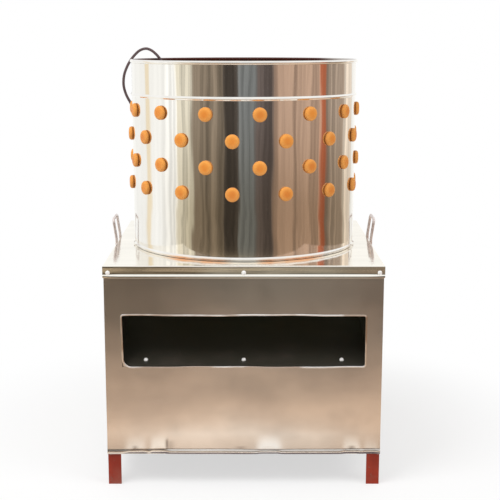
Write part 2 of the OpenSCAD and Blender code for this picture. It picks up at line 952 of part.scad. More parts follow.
module bearing_inner_races() {
    color(bright)
        for (z = [lower_bearing_z, upper_bearing_z])
            ring(shaft_r + fit_gap, shaft_r + race_t, z, bearing_w);
}

module bearing_balls() {
    race_in = shaft_r + race_t;
    race_out = bearing_r - race_t;
    color(bright)
        for (z = [lower_bearing_z, upper_bearing_z], k = [0:ball_n - 1])
            rotate([0, 0, 360 * k / ball_n])
                translate([(race_in + race_out) / 2, 0, z + bearing_w / 2])
                    sphere(r = (race_out - race_in) / 2 - hole_gap);
}

module shaft_seal() {
    color(black)
        ring(shaft_r + hole_gap, bearing_r, housing_top - seal_w, seal_w);
}

module plate_finger_places() {
    for (place = plate_rings, k = [0:place[1] - 1])
        rotate([0, 0, 360 * (k + 0.5) / place[1]])
            translate([place[0], 0, plate_z])
                children();
}

module hub_bolt_places() {
    for (k = [0:hub_bolt_n - 1])
        rotate([0, 0, 360 * k / hub_bolt_n])
            translate([hub_bolt_r, 0, 0])
                children();
}

module feather_plate() {
    color(mirror_steel)
        difference() {
            translate([0, 0, plate_top - plate_rim_h])
                cylinder(r = plate_r, h = plate_rim_h, $fn = 128);
            translate([0, 0, plate_top - plate_rim_h - over])
                cylinder(r = plate_r - plate_rim_t, h = plate_rim_h - plate_t + over, $fn = 128);
            cylinder(r = seat_r + fit_gap, h = deck_h + drum_h);
            plate_finger_places()
                translate([0, 0, -over])
                    cylinder(r = neck_r + hole_gap, h = plate_t + 2 * over);
            hub_bolt_places()
                cylinder(r = clamp_r + hole_gap, h = deck_h + drum_h);
        }
}

module plate_fingers() {
    color(orange)
        plate_finger_places()
            finger(plate_t + seat_gap);
}

// Flanged hub under the turntable with a skirt that hangs over the chute's collar
module drive_hub() {
    color(iron_grey)
        difference() {
            union() {
                translate([0, 0, hub_z])
                    cylinder(r = hub_boss_r, h = hub_len);
                translate([0, 0, plate_z - hub_flange_t])
                    cylinder(r = hub_flange_r, h = hub_flange_t);
                translate([0, 0, hub_z])
                    cylinder(r = skirt_in + skirt_t, h = skirt_t);
                ring(skirt_in, skirt_in + skirt_t, skirt_z, hub_z - skirt_z + skirt_t / 2);
            }
            cylinder(r = seat_r + fit_gap, h = deck_h + drum_h);
            hub_bolt_places()
                translate([0, 0, plate_z - hub_flange_t - over])
                    cylinder(r = clamp_r + hole_gap, h = hub_flange_t + 2 * over);
        }
}

module hub_bolts() {
    color(bright)
        hub_bolt_places()
            translate([0, 0, plate_top])
                bolt_and_nut(clamp_r, 7.5, 5.5, plate_t + hub_flange_t, 6.5);
}

module hub_nut() {
    color(bright) {
        ring(thread_r + hole_gap, washer_r, plate_top, washer_t);
        translate([0, 0, plate_top + washer_t])
            difference() {
                hexagon(hub_nut_r, hub_nut_h);
                translate([0, 0, -over])
                    cylinder(r = thread_r + fit_gap, h = hub_nut_h + 2 * over);
            }
    }
}

module main_shaft() {
    color(bright)
        rotate_extrude()
            polygon([
                [0, shaft_low], [seat_r - 1, shaft_low], [seat_r, shaft_low + 1],
                [seat_r, housing_z - 4], [shaft_r, housing_z - 4], [shaft_r, hub_z], [seat_r, hub_z],
                [seat_r, plate_top], [thread_r, plate_top], [thread_r, shaft_top - 1],
                [thread_r - 1, shaft_top], [0, shaft_top]
            ]);
}

// Half section of the belt's groove in a pulley of a given radius, as the points of its edge
function groove(r) =
    let (top = belt_w / 2 + belt_slope * belt_sink + groove_gap, low = top - belt_slope * groove_depth)
        [[r, -top], [r - groove_depth, -low], [r - groove_depth, low], [r, top]];

module driven_pulley() {
    half = pulley_w / 2;
    rim_in = pulley_r - rim_depth;
    spoke = 12;
    hole_at = (pulley_hub_r + rim_in) / 2;
    hole_r = min((rim_in - pulley_hub_r) / 2 - spoke, hole_at / 2 - spoke / 2);
    color(iron_grey)
        translate([0, 0, belt_z])
            difference() {
                rotate_extrude($fn = 128)
                    polygon(concat(
                        [[seat_r + fit_gap, -half - 4], [pulley_hub_r, -half - 4], [pulley_hub_r, -web_t / 2],
                         [rim_in, -web_t / 2], [rim_in, -half], [pulley_r, -half]],
                        groove(pulley_r),
                        [[pulley_r, half], [rim_in, half], [rim_in, web_t / 2], [pulley_hub_r, web_t / 2],
                         [pulley_hub_r, half], [seat_r + fit_gap, half]]
                    ));
                for (k = [0:5])
                    rotate([0, 0, 60 * k])
                        translate([hole_at, 0, 0])
                            cylinder(r = hole_r, h = pulley_w, center = true);
            }
}

// Section of the belt where it runs over a pulley of a given radius
module belt_section(r) {
    top = belt_w / 2;
    low = top - belt_slope * belt_h;
    polygon([
        [r - belt_sink, -top], [r - belt_sink, top],
        [r - belt_sink - belt_h, low], [r - belt_sink - belt_h, -low]
    ]);
}

// Belt: a wrap on each pulley and two straight runs between them
module drive_belt() {
    color(black)
        translate([0, 0, belt_z]) {
            rotate([0, 0, 180 - belt_angle])
                rotate_extrude(angle = 180 + 2 * belt_angle, $fn = 128)
                    belt_section(pulley_r);
            translate([0, motor_y, 0])
                rotate([0, 0, belt_angle])
                    rotate_extrude(angle = 180 - 2 * belt_angle)
                        belt_section(motor_pulley_r);
            for (m = [0, 1])
                mirror([m, 0, 0])
                    rotate([0, 0, belt_angle])
                        translate([0, belt_run, 0])
                            rotate([90, 0, 0])
                                linear_extrude(belt_run)
                                    belt_section(pulley_r);
        }
}

module clamp_bolts() {
    color(bright)
        clamp_places()
            translate([0, 0, motor_z + seat_gap])
                bolt_and_nut(clamp_r, 7.5, 5.5, motor_plate_t + iron_t + seat_gap, 6.5);
}

module motor_bolt_places() {
    for (sx = [-1, 1], sy = [-1, 1])
        translate([sx * motor_bolt_x, motor_y + sy * motor_bolt_y, 0])
            children();
}

// Slotted plate that carries the motor
module motor_plate() {
    color(iron_grey)
        difference() {
            translate([-plate_half_x, motor_y - motor_plate_l / 2, beam_top])
                cube([2 * plate_half_x, motor_plate_l, motor_plate_t]);
            clamp_places() {
                translate([-clamp_r - hole_gap, 0, beam_top - over])
                    cube([2 * (clamp_r + hole_gap), motor_travel, motor_plate_t + 2 * over]);
                for (y = [0, motor_travel])
                    translate([0, y, beam_top - over])
                        cylinder(r = clamp_r + hole_gap, h = motor_plate_t + 2 * over);
            }
            translate([0, motor_y, beam_top - over])
                cylinder(r = motor_shaft_r + 8, h = motor_plate_t + 2 * over);
            motor_bolt_places()
                cylinder(r = clamp_r + hole_gap, h = motor_z + over);
        }
}

// Bolt through the bracket that pushes the motor plate away from the spindle
module tension_bolt() {
    tip_y = motor_y - motor_plate_l / 2;
    nut_y = motor_rail_y - bracket_t - seat_gap;
    color(bright) {
        translate([0, tip_y, tension_z])
            rotate([90, 0, 0])
                cylinder(r = tension_r, h = tip_y - nut_y + 9);
        translate([0, nut_y - 8, tension_z])
            rotate([90, 0, 0])
                hexagon(7.5, 7);
        translate([0, nut_y, tension_z])
            rotate([90, 0, 0])
                difference() {
                    hexagon(7.5, 6);
                    translate([0, 0, -over])
                        cylinder(r = tension_r + fit_gap, h = 6 + 2 * over);
                }
    }
}

module motor_lower_bell() {
    color(motor_green)
        translate([0, motor_y, 0])
            difference() {
                union() {
                    translate([0, 0, motor_z])
                        cylinder(r = motor_r, h = 10);
                    translate([0, 0, motor_z])
                        cylinder(r = motor_can_r, h = low_bell_h);
                }
                translate([0, 0, motor_z - over])
                    cylinder(r = motor_shaft_r + 2, h = low_bell_h);
                translate([0, 0, motor_z + 4])
                    cylinder(r = motor_bearing_r + fit_gap, h = low_bell_h);
                translate([0, 0, motor_z + 4 + motor_bearing_w])
                    cylinder(r = motor_can_r - motor_wall, h = low_bell_h);
                for (sx = [-1, 1], sy = [-1, 1])
                    translate([sx * motor_bolt_x, sy * motor_bolt_y, motor_z - over])
                        cylinder(r = clamp_r + hole_gap, h = 14);
            }
}

module motor_frame() {
    color(motor_green)
        translate([0, motor_y, 0])
            difference() {
                union() {
                    translate([0, 0, frame_z])
                        cylinder(r = motor_can_r, h = frame_top - frame_z);
                    for (k = [0:fin_n - 1])
                        rotate([0, 0, 360 * k / fin_n])
                            translate([motor_can_r - 2, -fin_t / 2, frame_z])
                                cube([fin_h + 2, fin_t, frame_top - frame_z]);
                }
                translate([0, 0, frame_z - over])
                    cylinder(r = motor_can_r - motor_wall, h = frame_top - frame_z + 2 * over);
            }
}

module motor_stator() {
    core_out = motor_can_r - motor_wall - fit_gap;
    color(iron_grey)
        translate([0, motor_y, 0])
            rotate_extrude()
                polygon([
                    [core_r + air_gap, frame_z + end_turn], [core_r + air_gap + 4, frame_z + end_turn],
                    [core_r + air_gap + 4, frame_z + 1], [core_out - 4, frame_z + 1],
                    [core_out - 4, frame_z + end_turn], [core_out, frame_z + end_turn],
                    [core_out, frame_top - end_turn], [core_out - 4, frame_top - end_turn],
                    [core_out - 4, frame_top - 1], [core_r + air_gap + 4, frame_top - 1],
                    [core_r + air_gap + 4, frame_top - end_turn], [core_r + air_gap, frame_top - end_turn]
                ]);
}

module motor_upper_bell() {
    color(motor_green)
        translate([0, motor_y, frame_top])
            difference() {
                cylinder(r = motor_can_r, h = up_bell_h);
                translate([0, 0, -over])
                    cylinder(r = motor_can_r - motor_wall, h = 3 + over);
                translate([0, 0, -over])
                    cylinder(r = motor_bearing_r + fit_gap, h = 3 + motor_bearing_w + over);
                cylinder(r = motor_shaft_r + 2, h = up_bell_h + over);
            }
}

module motor_bearings() {
    color(bright)
        translate([0, motor_y, 0])
            for (z = [motor_z + 4, frame_top + 3])
                ring(motor_shaft_r + fit_gap, motor_bearing_r, z, motor_bearing_w);
}

// Sheet cowl over the fan with a ring of air holes
module fan_cover() {
    cowl_r = motor_can_r + 3;
    color(motor_green)
        translate([0, motor_y, motor_top - cowl_h])
            difference() {
                cylinder(r = cowl_r, h = cowl_h);
                translate([0, 0, -over])
                    cylinder(r = cowl_r - cowl_t, h = cowl_h - cowl_t + over);
                for (k = [0:11])
                    rotate([0, 0, 30 * k])
                        translate([38, 0, 0])
                            cylinder(r = 6, h = cowl_h + over);
            }
    color(bright)
        translate([0, motor_y, motor_top - cowl_h])
            for (k = [0:3])
                rotate([0, 0, 45 + 90 * k])
                    translate([motor_can_r + seat_gap, 0, 4])
                        rotate([0, 90, 0])
                            cylinder(r = 2.5, h = 3 - cowl_t - 2 * seat_gap);
}

// Box on the motor's left side for the lead's terminals, with its lid
module terminal_box() {
    back_y = motor_y - box_width / 2;
    color(motor_green) {
        difference() {
            translate([-motor_r - box_depth, back_y, box_z - box_height / 2])
                cube([box_depth, box_width, box_height]);
            translate([-motor_r - box_depth - over, back_y + box_t, box_z - box_height / 2 + box_t])
                cube([box_depth - box_t + over, box_width - 2 * box_t, box_height - 2 * box_t]);
        }
        translate([-motor_r - box_depth - box_t, back_y, box_z - box_height / 2])
            cube([box_t, box_width, box_height]);
    }
}

// Run capacitor in a can strapped to the motor's right side
module motor_capacitor() {
    can_r = 20;
    color(black)
        translate([motor_r + can_r, motor_y, frame_z + 6]) {
            cylinder(r = can_r, h = frame_top - frame_z - 12);
            translate([-can_r, -can_r * 0.6, 10])
                cube([can_r, can_r * 1.2, frame_top - frame_z - 32]);
        }
}

module motor_bolts() {
    color(bright)
        motor_bolt_places()
            translate([0, 0, beam_top])
                mirror([0, 0, 1]) {
                    hexagon(7, 5);
                    translate([0, 0, -motor_plate_t - 9])
                        cylinder(r = clamp_r, h = motor_plate_t + 9 + over);
                }
}

// Rotor core on its shaft, which points down through the motor plate
module motor_rotor() {
    low = belt_z - pulley_w / 2 - 4;
    high = motor_top - cowl_t - 8;
    color(bright)
        translate([0, motor_y, 0])
            rotate_extrude()
                polygon([
                    [0, low], [motor_shaft_r, low], [motor_shaft_r, frame_z + end_turn],
                    [core_r, frame_z + end_turn], [core_r, frame_top - end_turn],
                    [motor_shaft_r, frame_top - end_turn], [motor_shaft_r, high], [0, high]
                ]);
}

module motor_pulley() {
    half = pulley_w / 2;
    color(iron_grey)
        translate([0, motor_y, belt_z])
            rotate_extrude()
                polygon(concat(
                    [[motor_shaft_r + fit_gap, -half], [motor_pulley_r, -half]],
                    groove(motor_pulley_r),
                    [[motor_pulley_r, half], [motor_shaft_r + 9, half], [motor_shaft_r + 9, half + 10],
                     [motor_shaft_r + fit_gap, half + 10]]
                ));
}

module cooling_fan() {
    fan_z = frame_top + up_bell_h + 4;
    fan_h = motor_top - cowl_t - 8 - fan_z;
    color(black)
        translate([0, motor_y, fan_z])
            difference() {
                union() {
                    cylinder(r = 20, h = fan_h - 2);
                    cylinder(r = motor_can_r - 8, h = 3);
                    for (k = [0:7])
                        rotate([0, 0, 45 * k])
                            translate([15, -1, 0])
                                cube([motor_can_r - 25, 2, fan_h - 4]);
                }
                translate([0, 0, -over])
                    cylinder(r = motor_shaft_r + fit_gap, h = fan_h + 2 * over);
            }
}

module motor_lead() {
    color(black)
        tube(inner_path, lead_r, 10);
}

// Gland on the rear panel: a nut inside, a flange outside and a tapered strain relief
module lead_gland() {
    out = body_w / 2;
    tip = rear_path[0][1] - out;
    color(black)
        translate([gland_at[0], out, gland_at[2]])
            rotate([-90, 0, 0])
                rotate_extrude()
                    polygon([
                        [0, -gland_in], [gland_hole_r - fit_gap, -gland_in], [gland_hole_r - fit_gap, 0],
                        [gland_hole_r + 4, 0], [gland_hole_r + 4, tip - relief_len],
                        [gland_hole_r, tip - relief_len], [lead_r + 1, tip], [0, tip]
                    ]);
}

module mains_lead_rear() {
    color(black)
        tube(rear_path, lead_r, 10);
}

module mains_lead_coil() {
    color(black)
        tube(coil_path, lead_r, 6);
}

module mains_lead_rise() {
    color(black)
        tube(rise_path, lead_r, 10);
}

// Band around the coil's bundle of turns, on the side towards +X
module lead_tie() {
    side_gap = 0.7;
    mid = coil_r - coil_pitch;
    half = coil_pitch / 2 + lead_r + side_gap;
    low = coil_z - lead_r - seat_gap;
    high = coil_z + coil_pitch + lead_r + seat_gap;
    color(bright)
        translate([coil_centre[0] + mid, coil_centre[1], 0])
            difference() {
                translate([-half - tie_t, -tie_w / 2, low - tie_t])
                    cube([2 * (half + tie_t), tie_w, high - low + 2 * tie_t]);
                translate([-half, -tie_w, low])
                    cube([2 * half, 2 * tie_w, high - low]);
            }
}

// Two-pin plug hanging pins down against the inside of the drum
module lead_plug() {
    color(black)
        translate(plug_at) {
            rotate_extrude()
                polygon([
                    [0, 0], [plug_r - 2, 0], [plug_r, 2], [plug_r, 14], [plug_r - 5, plug_len],
                    [lead_r + 3, plug_len + 2], [lead_r + 1, plug_len + plug_relief],
                    [0, plug_len + plug_relief]
                ]);
            rotate([0, 0, plug_turn])
                for (sx = [-1, 1])
                    translate([sx * pin_x, 0, -pin_len])
                        cylinder(r = pin_r, h = pin_len + 2);
        }
}

legs();
top_rails();
lower_rails();
bearing_beams();
motor_rails();
front_panel();
rear_panel();
left_panel();
right_panel();
outlet_lip();
deck_cover();
throat_ring();
deck_screws();
handle_left();
handle_right();
drum_shell();
wall_fingers(1);  // wall_fingers_1
wall_fingers(2);  // wall_fingers_2
wall_fingers(3);  // wall_fingers_3
wall_fingers(4);  // wall_fingers_4
chute_floor();
chute_walls();
chute_support();
chute_screws();
spindle_housing();
housing_bolts();
bearing_outer_races();
bearing_balls();
shaft_seal();
feather_plate();
plate_fingers();
drive_hub();
hub_bolts();
hub_nut();
main_shaft();
bearing_inner_races();
driven_pulley();
drive_belt();
clamp_bolts();
motor_plate();
tension_bolt();
motor_lower_bell();
motor_frame();
motor_stator();
motor_upper_bell();
motor_bearings();
fan_cover();
terminal_box();
motor_capacitor();
motor_bolts();
motor_rotor();
motor_pulley();
cooling_fan();
motor_lead();
lead_gland();
mains_lead_rear();
mains_lead_coil();
mains_lead_rise();
lead_tie();
lead_plug();
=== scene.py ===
# %% [markdown]
# # A poultry plucker
# This lesson dresses a measured CAD model of a drum plucker. The CAD parts give the sizes and the
# joints. Here we add what a camera sees: rolled edges, moulded rubber, polished and satin sheet.
# Everything is in metres, +Z is up and the front of the machine faces -Y.

# %% Load the CAD model
import math
import bpy
import numpy as np
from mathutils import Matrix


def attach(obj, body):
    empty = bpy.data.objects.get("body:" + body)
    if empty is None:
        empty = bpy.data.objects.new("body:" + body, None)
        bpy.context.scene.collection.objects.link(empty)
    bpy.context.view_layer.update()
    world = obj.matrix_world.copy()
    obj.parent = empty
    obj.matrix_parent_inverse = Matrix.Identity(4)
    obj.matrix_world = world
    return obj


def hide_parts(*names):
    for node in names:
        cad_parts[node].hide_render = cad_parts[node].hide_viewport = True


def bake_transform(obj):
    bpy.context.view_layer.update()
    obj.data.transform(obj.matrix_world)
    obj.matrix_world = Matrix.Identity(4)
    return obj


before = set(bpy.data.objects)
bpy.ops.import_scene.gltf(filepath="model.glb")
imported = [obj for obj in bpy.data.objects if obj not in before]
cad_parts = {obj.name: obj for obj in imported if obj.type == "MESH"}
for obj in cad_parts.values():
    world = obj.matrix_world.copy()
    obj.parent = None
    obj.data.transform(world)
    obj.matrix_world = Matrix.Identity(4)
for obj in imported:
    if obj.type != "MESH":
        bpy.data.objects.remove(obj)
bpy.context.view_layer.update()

print("CAD nodes:", len(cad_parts))

# %% [markdown]
# ## The camera
# The photograph was taken from a little above the rim, far enough away for the sides of the drum to
# stay nearly upright. A long lens at 2.7 m gives that. The camera could be turned to set the machine
# left of the middle, as it is in the picture. A small shift of the lens does it and keeps the front
# square to us.

# %% Camera
CAMERA_PLACE = (0.0, -2.72127, 1.01864)
CAMERA_DIP = 10.843
camera_data = bpy.data.cameras.new("front_camera")
camera_data.sensor_width = 36.0
camera_data.lens = 78.455
camera_data.shift_x = 0.0125
camera = bpy.data.objects.new("front_camera", camera_data)
camera.location = CAMERA_PLACE
camera.rotation_euler = (math.radians(90 - CAMERA_DIP), 0.0, 0.0)
bpy.context.collection.objects.link(camera)
bpy.context.scene.camera = camera
bpy.context.scene.view_settings.view_transform = "Standard"
print("camera at", tuple(camera.location))

# %% [markdown]
# ## The mains lead
# The lead leaves a gland on the rear panel, hangs in a bow, lies coiled on the deck behind the drum
# and rises from the coil over the rim, where its plug hangs inside. Cords and folds need soft lines, so
# two helpers come first: a change without a kink, and a smooth line through points.

# %% Smooth lines
def ease(s):
    """The smooth step 3s^2 - 2s^3 of a share that is first kept between 0 and 1."""
    s = np.clip(s, 0, 1)
    return s * s * (3 - 2 * s)


def smooth_path(points, steps=6):
    """A line through points: between two of them, a cubic that leaves each along the line between its
    neighbours. The first and the last point get a mirrored neighbour."""
    p = np.asarray(points, float)
    p = np.concatenate([2 * p[:1] - p[1:2], p, 2 * p[-1:] - p[-2:-1]])
    t = np.linspace(0, 1, steps, endpoint=False)[None, :, None]
    a, b, c, d = (p[k:len(p) - 3 + k, None, :] for k in range(4))
    square, cube = 2 * a - 5 * b + 4 * c - d, 3 * b - a - 3 * c + d
    curve = 0.5 * (2 * b + (c - a) * t + square * t ** 2 + cube * t ** 3)
    return np.concatenate([curve.reshape(-1, 3), p[-2:-1]])


print("line helpers ready")

# %% [markdown]
# The route of the lead is a few points in millimetres with a smooth line through them. The coil in its
# middle is a spiral that winds in on the deck and out again on top of itself.

# %% Route of the lead
lead_rear = np.array([
    (-200, 349, 440), (-200, 362, 440), (-200, 376, 436), (-202, 387, 425), (-205, 390.7, 409),
    (-211, 390, 393), (-220, 385, 380), (-232, 378, 373), (-245, 372, 373), (-257, 367, 381),
    (-266, 363, 395), (-272, 361, 413), (-277, 359, 436), (-280, 358, 462), (-282, 358, 488),
    (-284, 357, 512), (-284, 351, 533), (-284, 338, 546), (-284, 322, 549), (-284, 307, 544),
    (-284, 293, 535), (-284, 278, 529), (-284, 266, 527), (-284, 257, 527), (-284, 249, 527)]) / 1000
lead_rise = np.array([
    (-284, 235, 534.6), (-284, 225, 534.6), (-284, 211, 537), (-284, 199, 544), (-284, 190, 556),
    (-284, 186, 574), (-284, 185, 600), (-284, 185, 640), (-284, 185, 690), (-284, 185, 740),
    (-284, 185, 785), (-286, 185, 815), (-291, 184, 840), (-300, 182, 860), (-310, 180, 880),
    (-316, 178, 903), (-315, 175, 926), (-309, 173, 946), (-299, 170, 965), (-286, 167, 982),
    (-271, 163, 995), (-255, 160, 1000), (-241, 157, 996), (-229, 154, 987), (-219, 151, 976),
    (-211, 153, 963), (-205, 158, 949), (-198, 164, 935), (-190, 170, 922), (-185, 175, 911),
    (-183, 176, 905), (-183, 176, 899)]) / 1000


def coil_line(turns=4, steps=48, radius=0.0456, pitch=0.0076, start=(-0.284, 0.242), low=0.527):
    """A spiral that shrinks by a pitch a turn, climbs a pitch at its middle and grows again."""
    t = np.linspace(0, turns, turns * steps + 1)
    a = np.pi + 2 * np.pi * t
    r = radius - pitch * np.minimum(t, turns - t)
    up = ease((t - turns / 2 + 0.25) / 0.5)
    return np.stack([start[0] + radius + r * np.cos(a), start[1] + r * np.sin(a), low + pitch * up], -1)


lead_line = np.concatenate([smooth_path(lead_rear), coil_line()[1:-1], smooth_path(lead_rise)])
print("lead points:", len(lead_line))

# %% [markdown]
# A cord could be a tube of points or a curve with a round bevel. The curve is chosen here, because its
# length can be read from its points.


def add_cord(name, line, diameter, body):
    """A round cord: one open spline whose points carry half the diameter as their radius. The bevel
    is 1 m deep and each point scales it down, so the curve's own box fits the cord."""
    curve = bpy.data.curves.new(name, "CURVE")
    curve.dimensions = "3D"
    curve.bevel_depth = 1.0
    curve.bevel_resolution = 5
    curve.use_fill_caps = True
    spline = curve.splines.new("POLY")
    spline.points.add(len(line) - 1)
    spline.points.foreach_set("co", np.column_stack([line, np.ones(len(line))]).ravel())
    spline.points.foreach_set("radius", np.full(len(line), diameter / 2))
    cord = bpy.data.objects.new(name, curve)
    bpy.context.collection.objects.link(cord)
    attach(cord, body)
    return cord


lead = add_cord("mains_lead", lead_line, 0.007, "cabinet")
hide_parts("mains_lead_rear", "mains_lead_coil", "mains_lead_rise")

# %% [markdown]
# ## Surfaces from arrays
# Every other new piece is a grid of points: one direction runs along a profile, the other around or
# along a path. Whole arrays are worked out at once and handed to the mesh, so a piece is a formula
# rather than a pile of clicks.

# %% Faces and pieces
def grid_quads(rows, cols, close_rows=False, close_cols=False):
    """Quads of a grid: corner (i, j) joins (i, j+1), (i+1, j+1) and (i+1, j), wrapping if closed."""
    i = np.arange(rows if close_rows else rows - 1)[:, None]
    j = np.arange(cols if close_cols else cols - 1)[None, :]
    down, right = (i + 1) % rows, (j + 1) % cols
    corners = np.broadcast_arrays(i * cols + j, i * cols + right, down * cols + right, down * cols + j)
    return np.stack(corners, -1).reshape(-1, 4)


def capped_rings(rows, steps, copies=1):
    """Faces of a closed turning: quads between neighbouring rings, and a flat cap on the first and on
    the last ring. Copies follow each other in the list of points."""
    quads = grid_quads(rows, steps, close_cols=True)
    ring = np.arange(steps)
    faces = []
    for first in np.arange(copies) * rows * steps:
        faces += (quads + first).tolist()
        faces += [(first + ring[::-1]).tolist(), (first + (rows - 1) * steps + ring).tolist()]
    return faces


def add_piece(name, points, faces, body, slot, sharp=35.0, **attributes):
    """A mesh object at the origin from points and faces, with an optional value per point. Edges
    that turn by more than the sharp angle stay sharp."""
    mesh = bpy.data.meshes.new(name)
    mesh.from_pydata(np.asarray(points, float).tolist(), [], [list(f) for f in faces])
    mesh.polygons.foreach_set("use_smooth", np.ones(len(mesh.polygons), bool))
    mesh.set_sharp_from_angle(angle=math.radians(sharp))
    for key, values in attributes.items():
        layer = mesh.attributes.new(key, "FLOAT", "POINT")
        layer.data.foreach_set("value", np.asarray(values, np.float32))
    piece = bpy.data.objects.new(name, mesh)
    bpy.context.collection.objects.link(piece)
    if body:
        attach(piece, body)
    return piece


print("face helpers ready")

# %% [markdown]
# ## Plug and gland
# Both are mouldings of black plastic. Cylinders with bevelled edges could stand for them, but half of a
# section, drawn with soft corners and turned, gives the whole form at once. Grooves in the strain
# reliefs let them bend.

# %% Turned sections
def turned(profile, steps):
    """A profile of (radius, height) carried round the Z axis: x = r cos a, y = r sin a."""
    profile = np.asarray(profile, float)
    a = np.linspace(0, 2 * np.pi, steps, endpoint=False)
    r, z = profile[:, :1], profile[:, 1:]
    return np.stack(np.broadcast_arrays(r * np.cos(a), r * np.sin(a), z), -1).reshape(-1, 3)


def rounded(corners, radii, steps=5):
    """An open chain of corners whose inner ones are cut back by a radius and bridged by a curve.
    Each bridge is a quadratic: (1-t)^2 before + 2t(1-t) corner + t^2 after."""
    corners = np.asarray(corners, float)
    t = np.linspace(0, 1, steps)[:, None]
    parts = [corners[:1]]
    for before, corner, after, radius in zip(corners[:-2], corners[1:-1], corners[2:], radii):
        into = before - corner
        out = after - corner
        a = corner + into * min(radius / np.linalg.norm(into), 0.49)
        b = corner + out * min(radius / np.linalg.norm(out), 0.49)
        bridge = (1 - t) ** 2 * a + 2 * t * (1 - t) * corner + t ** 2 * b
        parts.append(bridge if radius else corner[None])
    return np.concatenate(parts + [corners[-1:]])


def relief_profile(z0, z1, r0, r1, grooves, dip=0.0005):
    """A taper from r0 to r1 whose radius dips in each groove: r = taper - dip sin^2."""
    z = np.linspace(z0, z1, grooves * 8 + 1)
    taper = np.interp(z, [z0, z1], [r0, r1])
    return np.column_stack([taper - dip * np.sin(np.pi * grooves * (z - z0) / (z1 - z0)) ** 2, z])


print("section helpers ready")

# %% [markdown]
# The plug is turned about its own upright axis. Its two round pins are copies of one turning, set on
# either side of that axis.

# %% Plug
PLUG_PLACE = np.array([-0.183, 0.176, 0.835])
PLUG_STEPS, PIN_STEPS = 40, 20
PIN_TURN, PIN_OFFSET = math.radians(-133.9), 0.0095
plug_shape = np.concatenate([
    rounded([(0.0001, 0), (0.019, 0), (0.019, 0.014), (0.014, 0.034), (0.0065, 0.036)],
            [0.0025, 0.006, 0.004]),
    relief_profile(0.037, 0.0635, 0.0064, 0.0045, 6), [(0.0036, 0.064), (0.0001, 0.064)]])
plug = add_piece("lead_plug_body", turned(plug_shape, PLUG_STEPS) + PLUG_PLACE,
                 capped_rings(len(plug_shape), PLUG_STEPS), "cabinet", "black_plastic")
pin_shape = rounded([(0.0001, -0.019), (0.0024, -0.019), (0.0024, 0.001)], [0.0015])
pin = turned(pin_shape, PIN_STEPS)
pin_side = np.array([math.cos(PIN_TURN), math.sin(PIN_TURN), 0]) * PIN_OFFSET
pin_points = np.concatenate([pin + s * pin_side + PLUG_PLACE for s in (-1, 1)])
pins = add_piece("lead_plug_pins", pin_points, capped_rings(len(pin_shape), PIN_STEPS, 2),
                 "cabinet", "bright_steel")
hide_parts("lead_plug")
print("plug points:", len(plug.data.vertices) + len(pins.data.vertices))

# %% [markdown]
# The gland is turned upright like the plug and then laid down, so that it points out of the rear
# panel.

# %% Gland
GLAND_PLACE = np.array([-0.2, 0.317, 0.44])
gland_shape = np.concatenate([
    rounded([(0.0001, -0.013), (0.00795, -0.013), (0.00795, 0.0002), (0.0119, 0.0002),
             (0.0119, 0.004), (0.0082, 0.005)], [0.001, 0, 0.0005, 0.001]),
    relief_profile(0.006, 0.0315, 0.0078, 0.0046, 5), [(0.0036, 0.032), (0.0001, 0.032)]])
gland = turned(gland_shape, PLUG_STEPS)
gland_points = np.column_stack([gland[:, 0], gland[:, 2], -gland[:, 1]]) + GLAND_PLACE
gland_piece = add_piece("lead_gland_body", gland_points, capped_rings(len(gland_shape), PLUG_STEPS),
                        "cabinet", "black_plastic")
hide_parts("lead_gland")
print("gland points:", len(gland))

# %% [markdown]
# ## The lead inside the cabinet
# From the gland a short lead runs down to the motor. The motor slides to tighten its belt, so this
# lead has to bend. It is a mesh tube rather than a curve.

# %% Motor lead
CORD_SIDES = 16
inner_route = np.array([
    (-200, 304, 440), (-200, 294, 440), (-197, 281, 435), (-188, 272, 421), (-174, 270, 402),
    (-157, 272, 383), (-139, 275, 364), (-121, 274, 346), (-106, 266, 331), (-96, 254, 322),
    (-92, 245, 320), (-92, 238, 320)]) / 1000


def tube_points(line, radius, sides):
    """Rings of points square to a line: centre + radius (cos a side + sin a up), where side is the
    line's direction crossed with +Z."""
    ahead = np.gradient(line, axis=0)
    ahead /= np.linalg.norm(ahead, axis=1, keepdims=True)
    side = np.cross(ahead, [0.0, 0.0, 1.0])
    side /= np.linalg.norm(side, axis=1, keepdims=True)
    up = np.cross(side, ahead)
    a = np.linspace(0, 2 * np.pi, sides, endpoint=False)[None, :, None]
    ring = np.cos(a) * side[:, None] + np.sin(a) * up[:, None]
    return (line[:, None] + radius * ring).reshape(-1, 3)


motor_line = smooth_path(inner_route)
motor_faces = [face[::-1] for face in capped_rings(len(motor_line), CORD_SIDES)]
motor_cord = add_piece("motor_cord", tube_points(motor_line, 0.0035, CORD_SIDES), motor_faces, None, None)
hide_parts("motor_lead")
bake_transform(motor_cord)

# %% [markdown]
# ## The drum
# The drum is one sheet rolled into a cylinder, with a wired rim and two swaged beads that stiffen it. A
# cylinder with a Solidify modifier would give the wall, but neither rim nor beads, so the section is
# drawn once, outside and inside, and turned. Soft changes of slope matter here, because a polished wall
# shows every kink in its reflections.

# %% Drum shell
DRUM_R, SHEET, DECK, RIM = 0.275, 0.0015, 0.522, 0.976
BEADS, BEAD_HALF, BEAD_RISE = (RIM - 0.084, DECK + 0.0055), 0.0045, 0.003
WIRE_R, THROAT_R, DRUM_STEPS = 0.0042, 0.2695, 360
RIM_STEPS, RIM_CREST = 22, 12


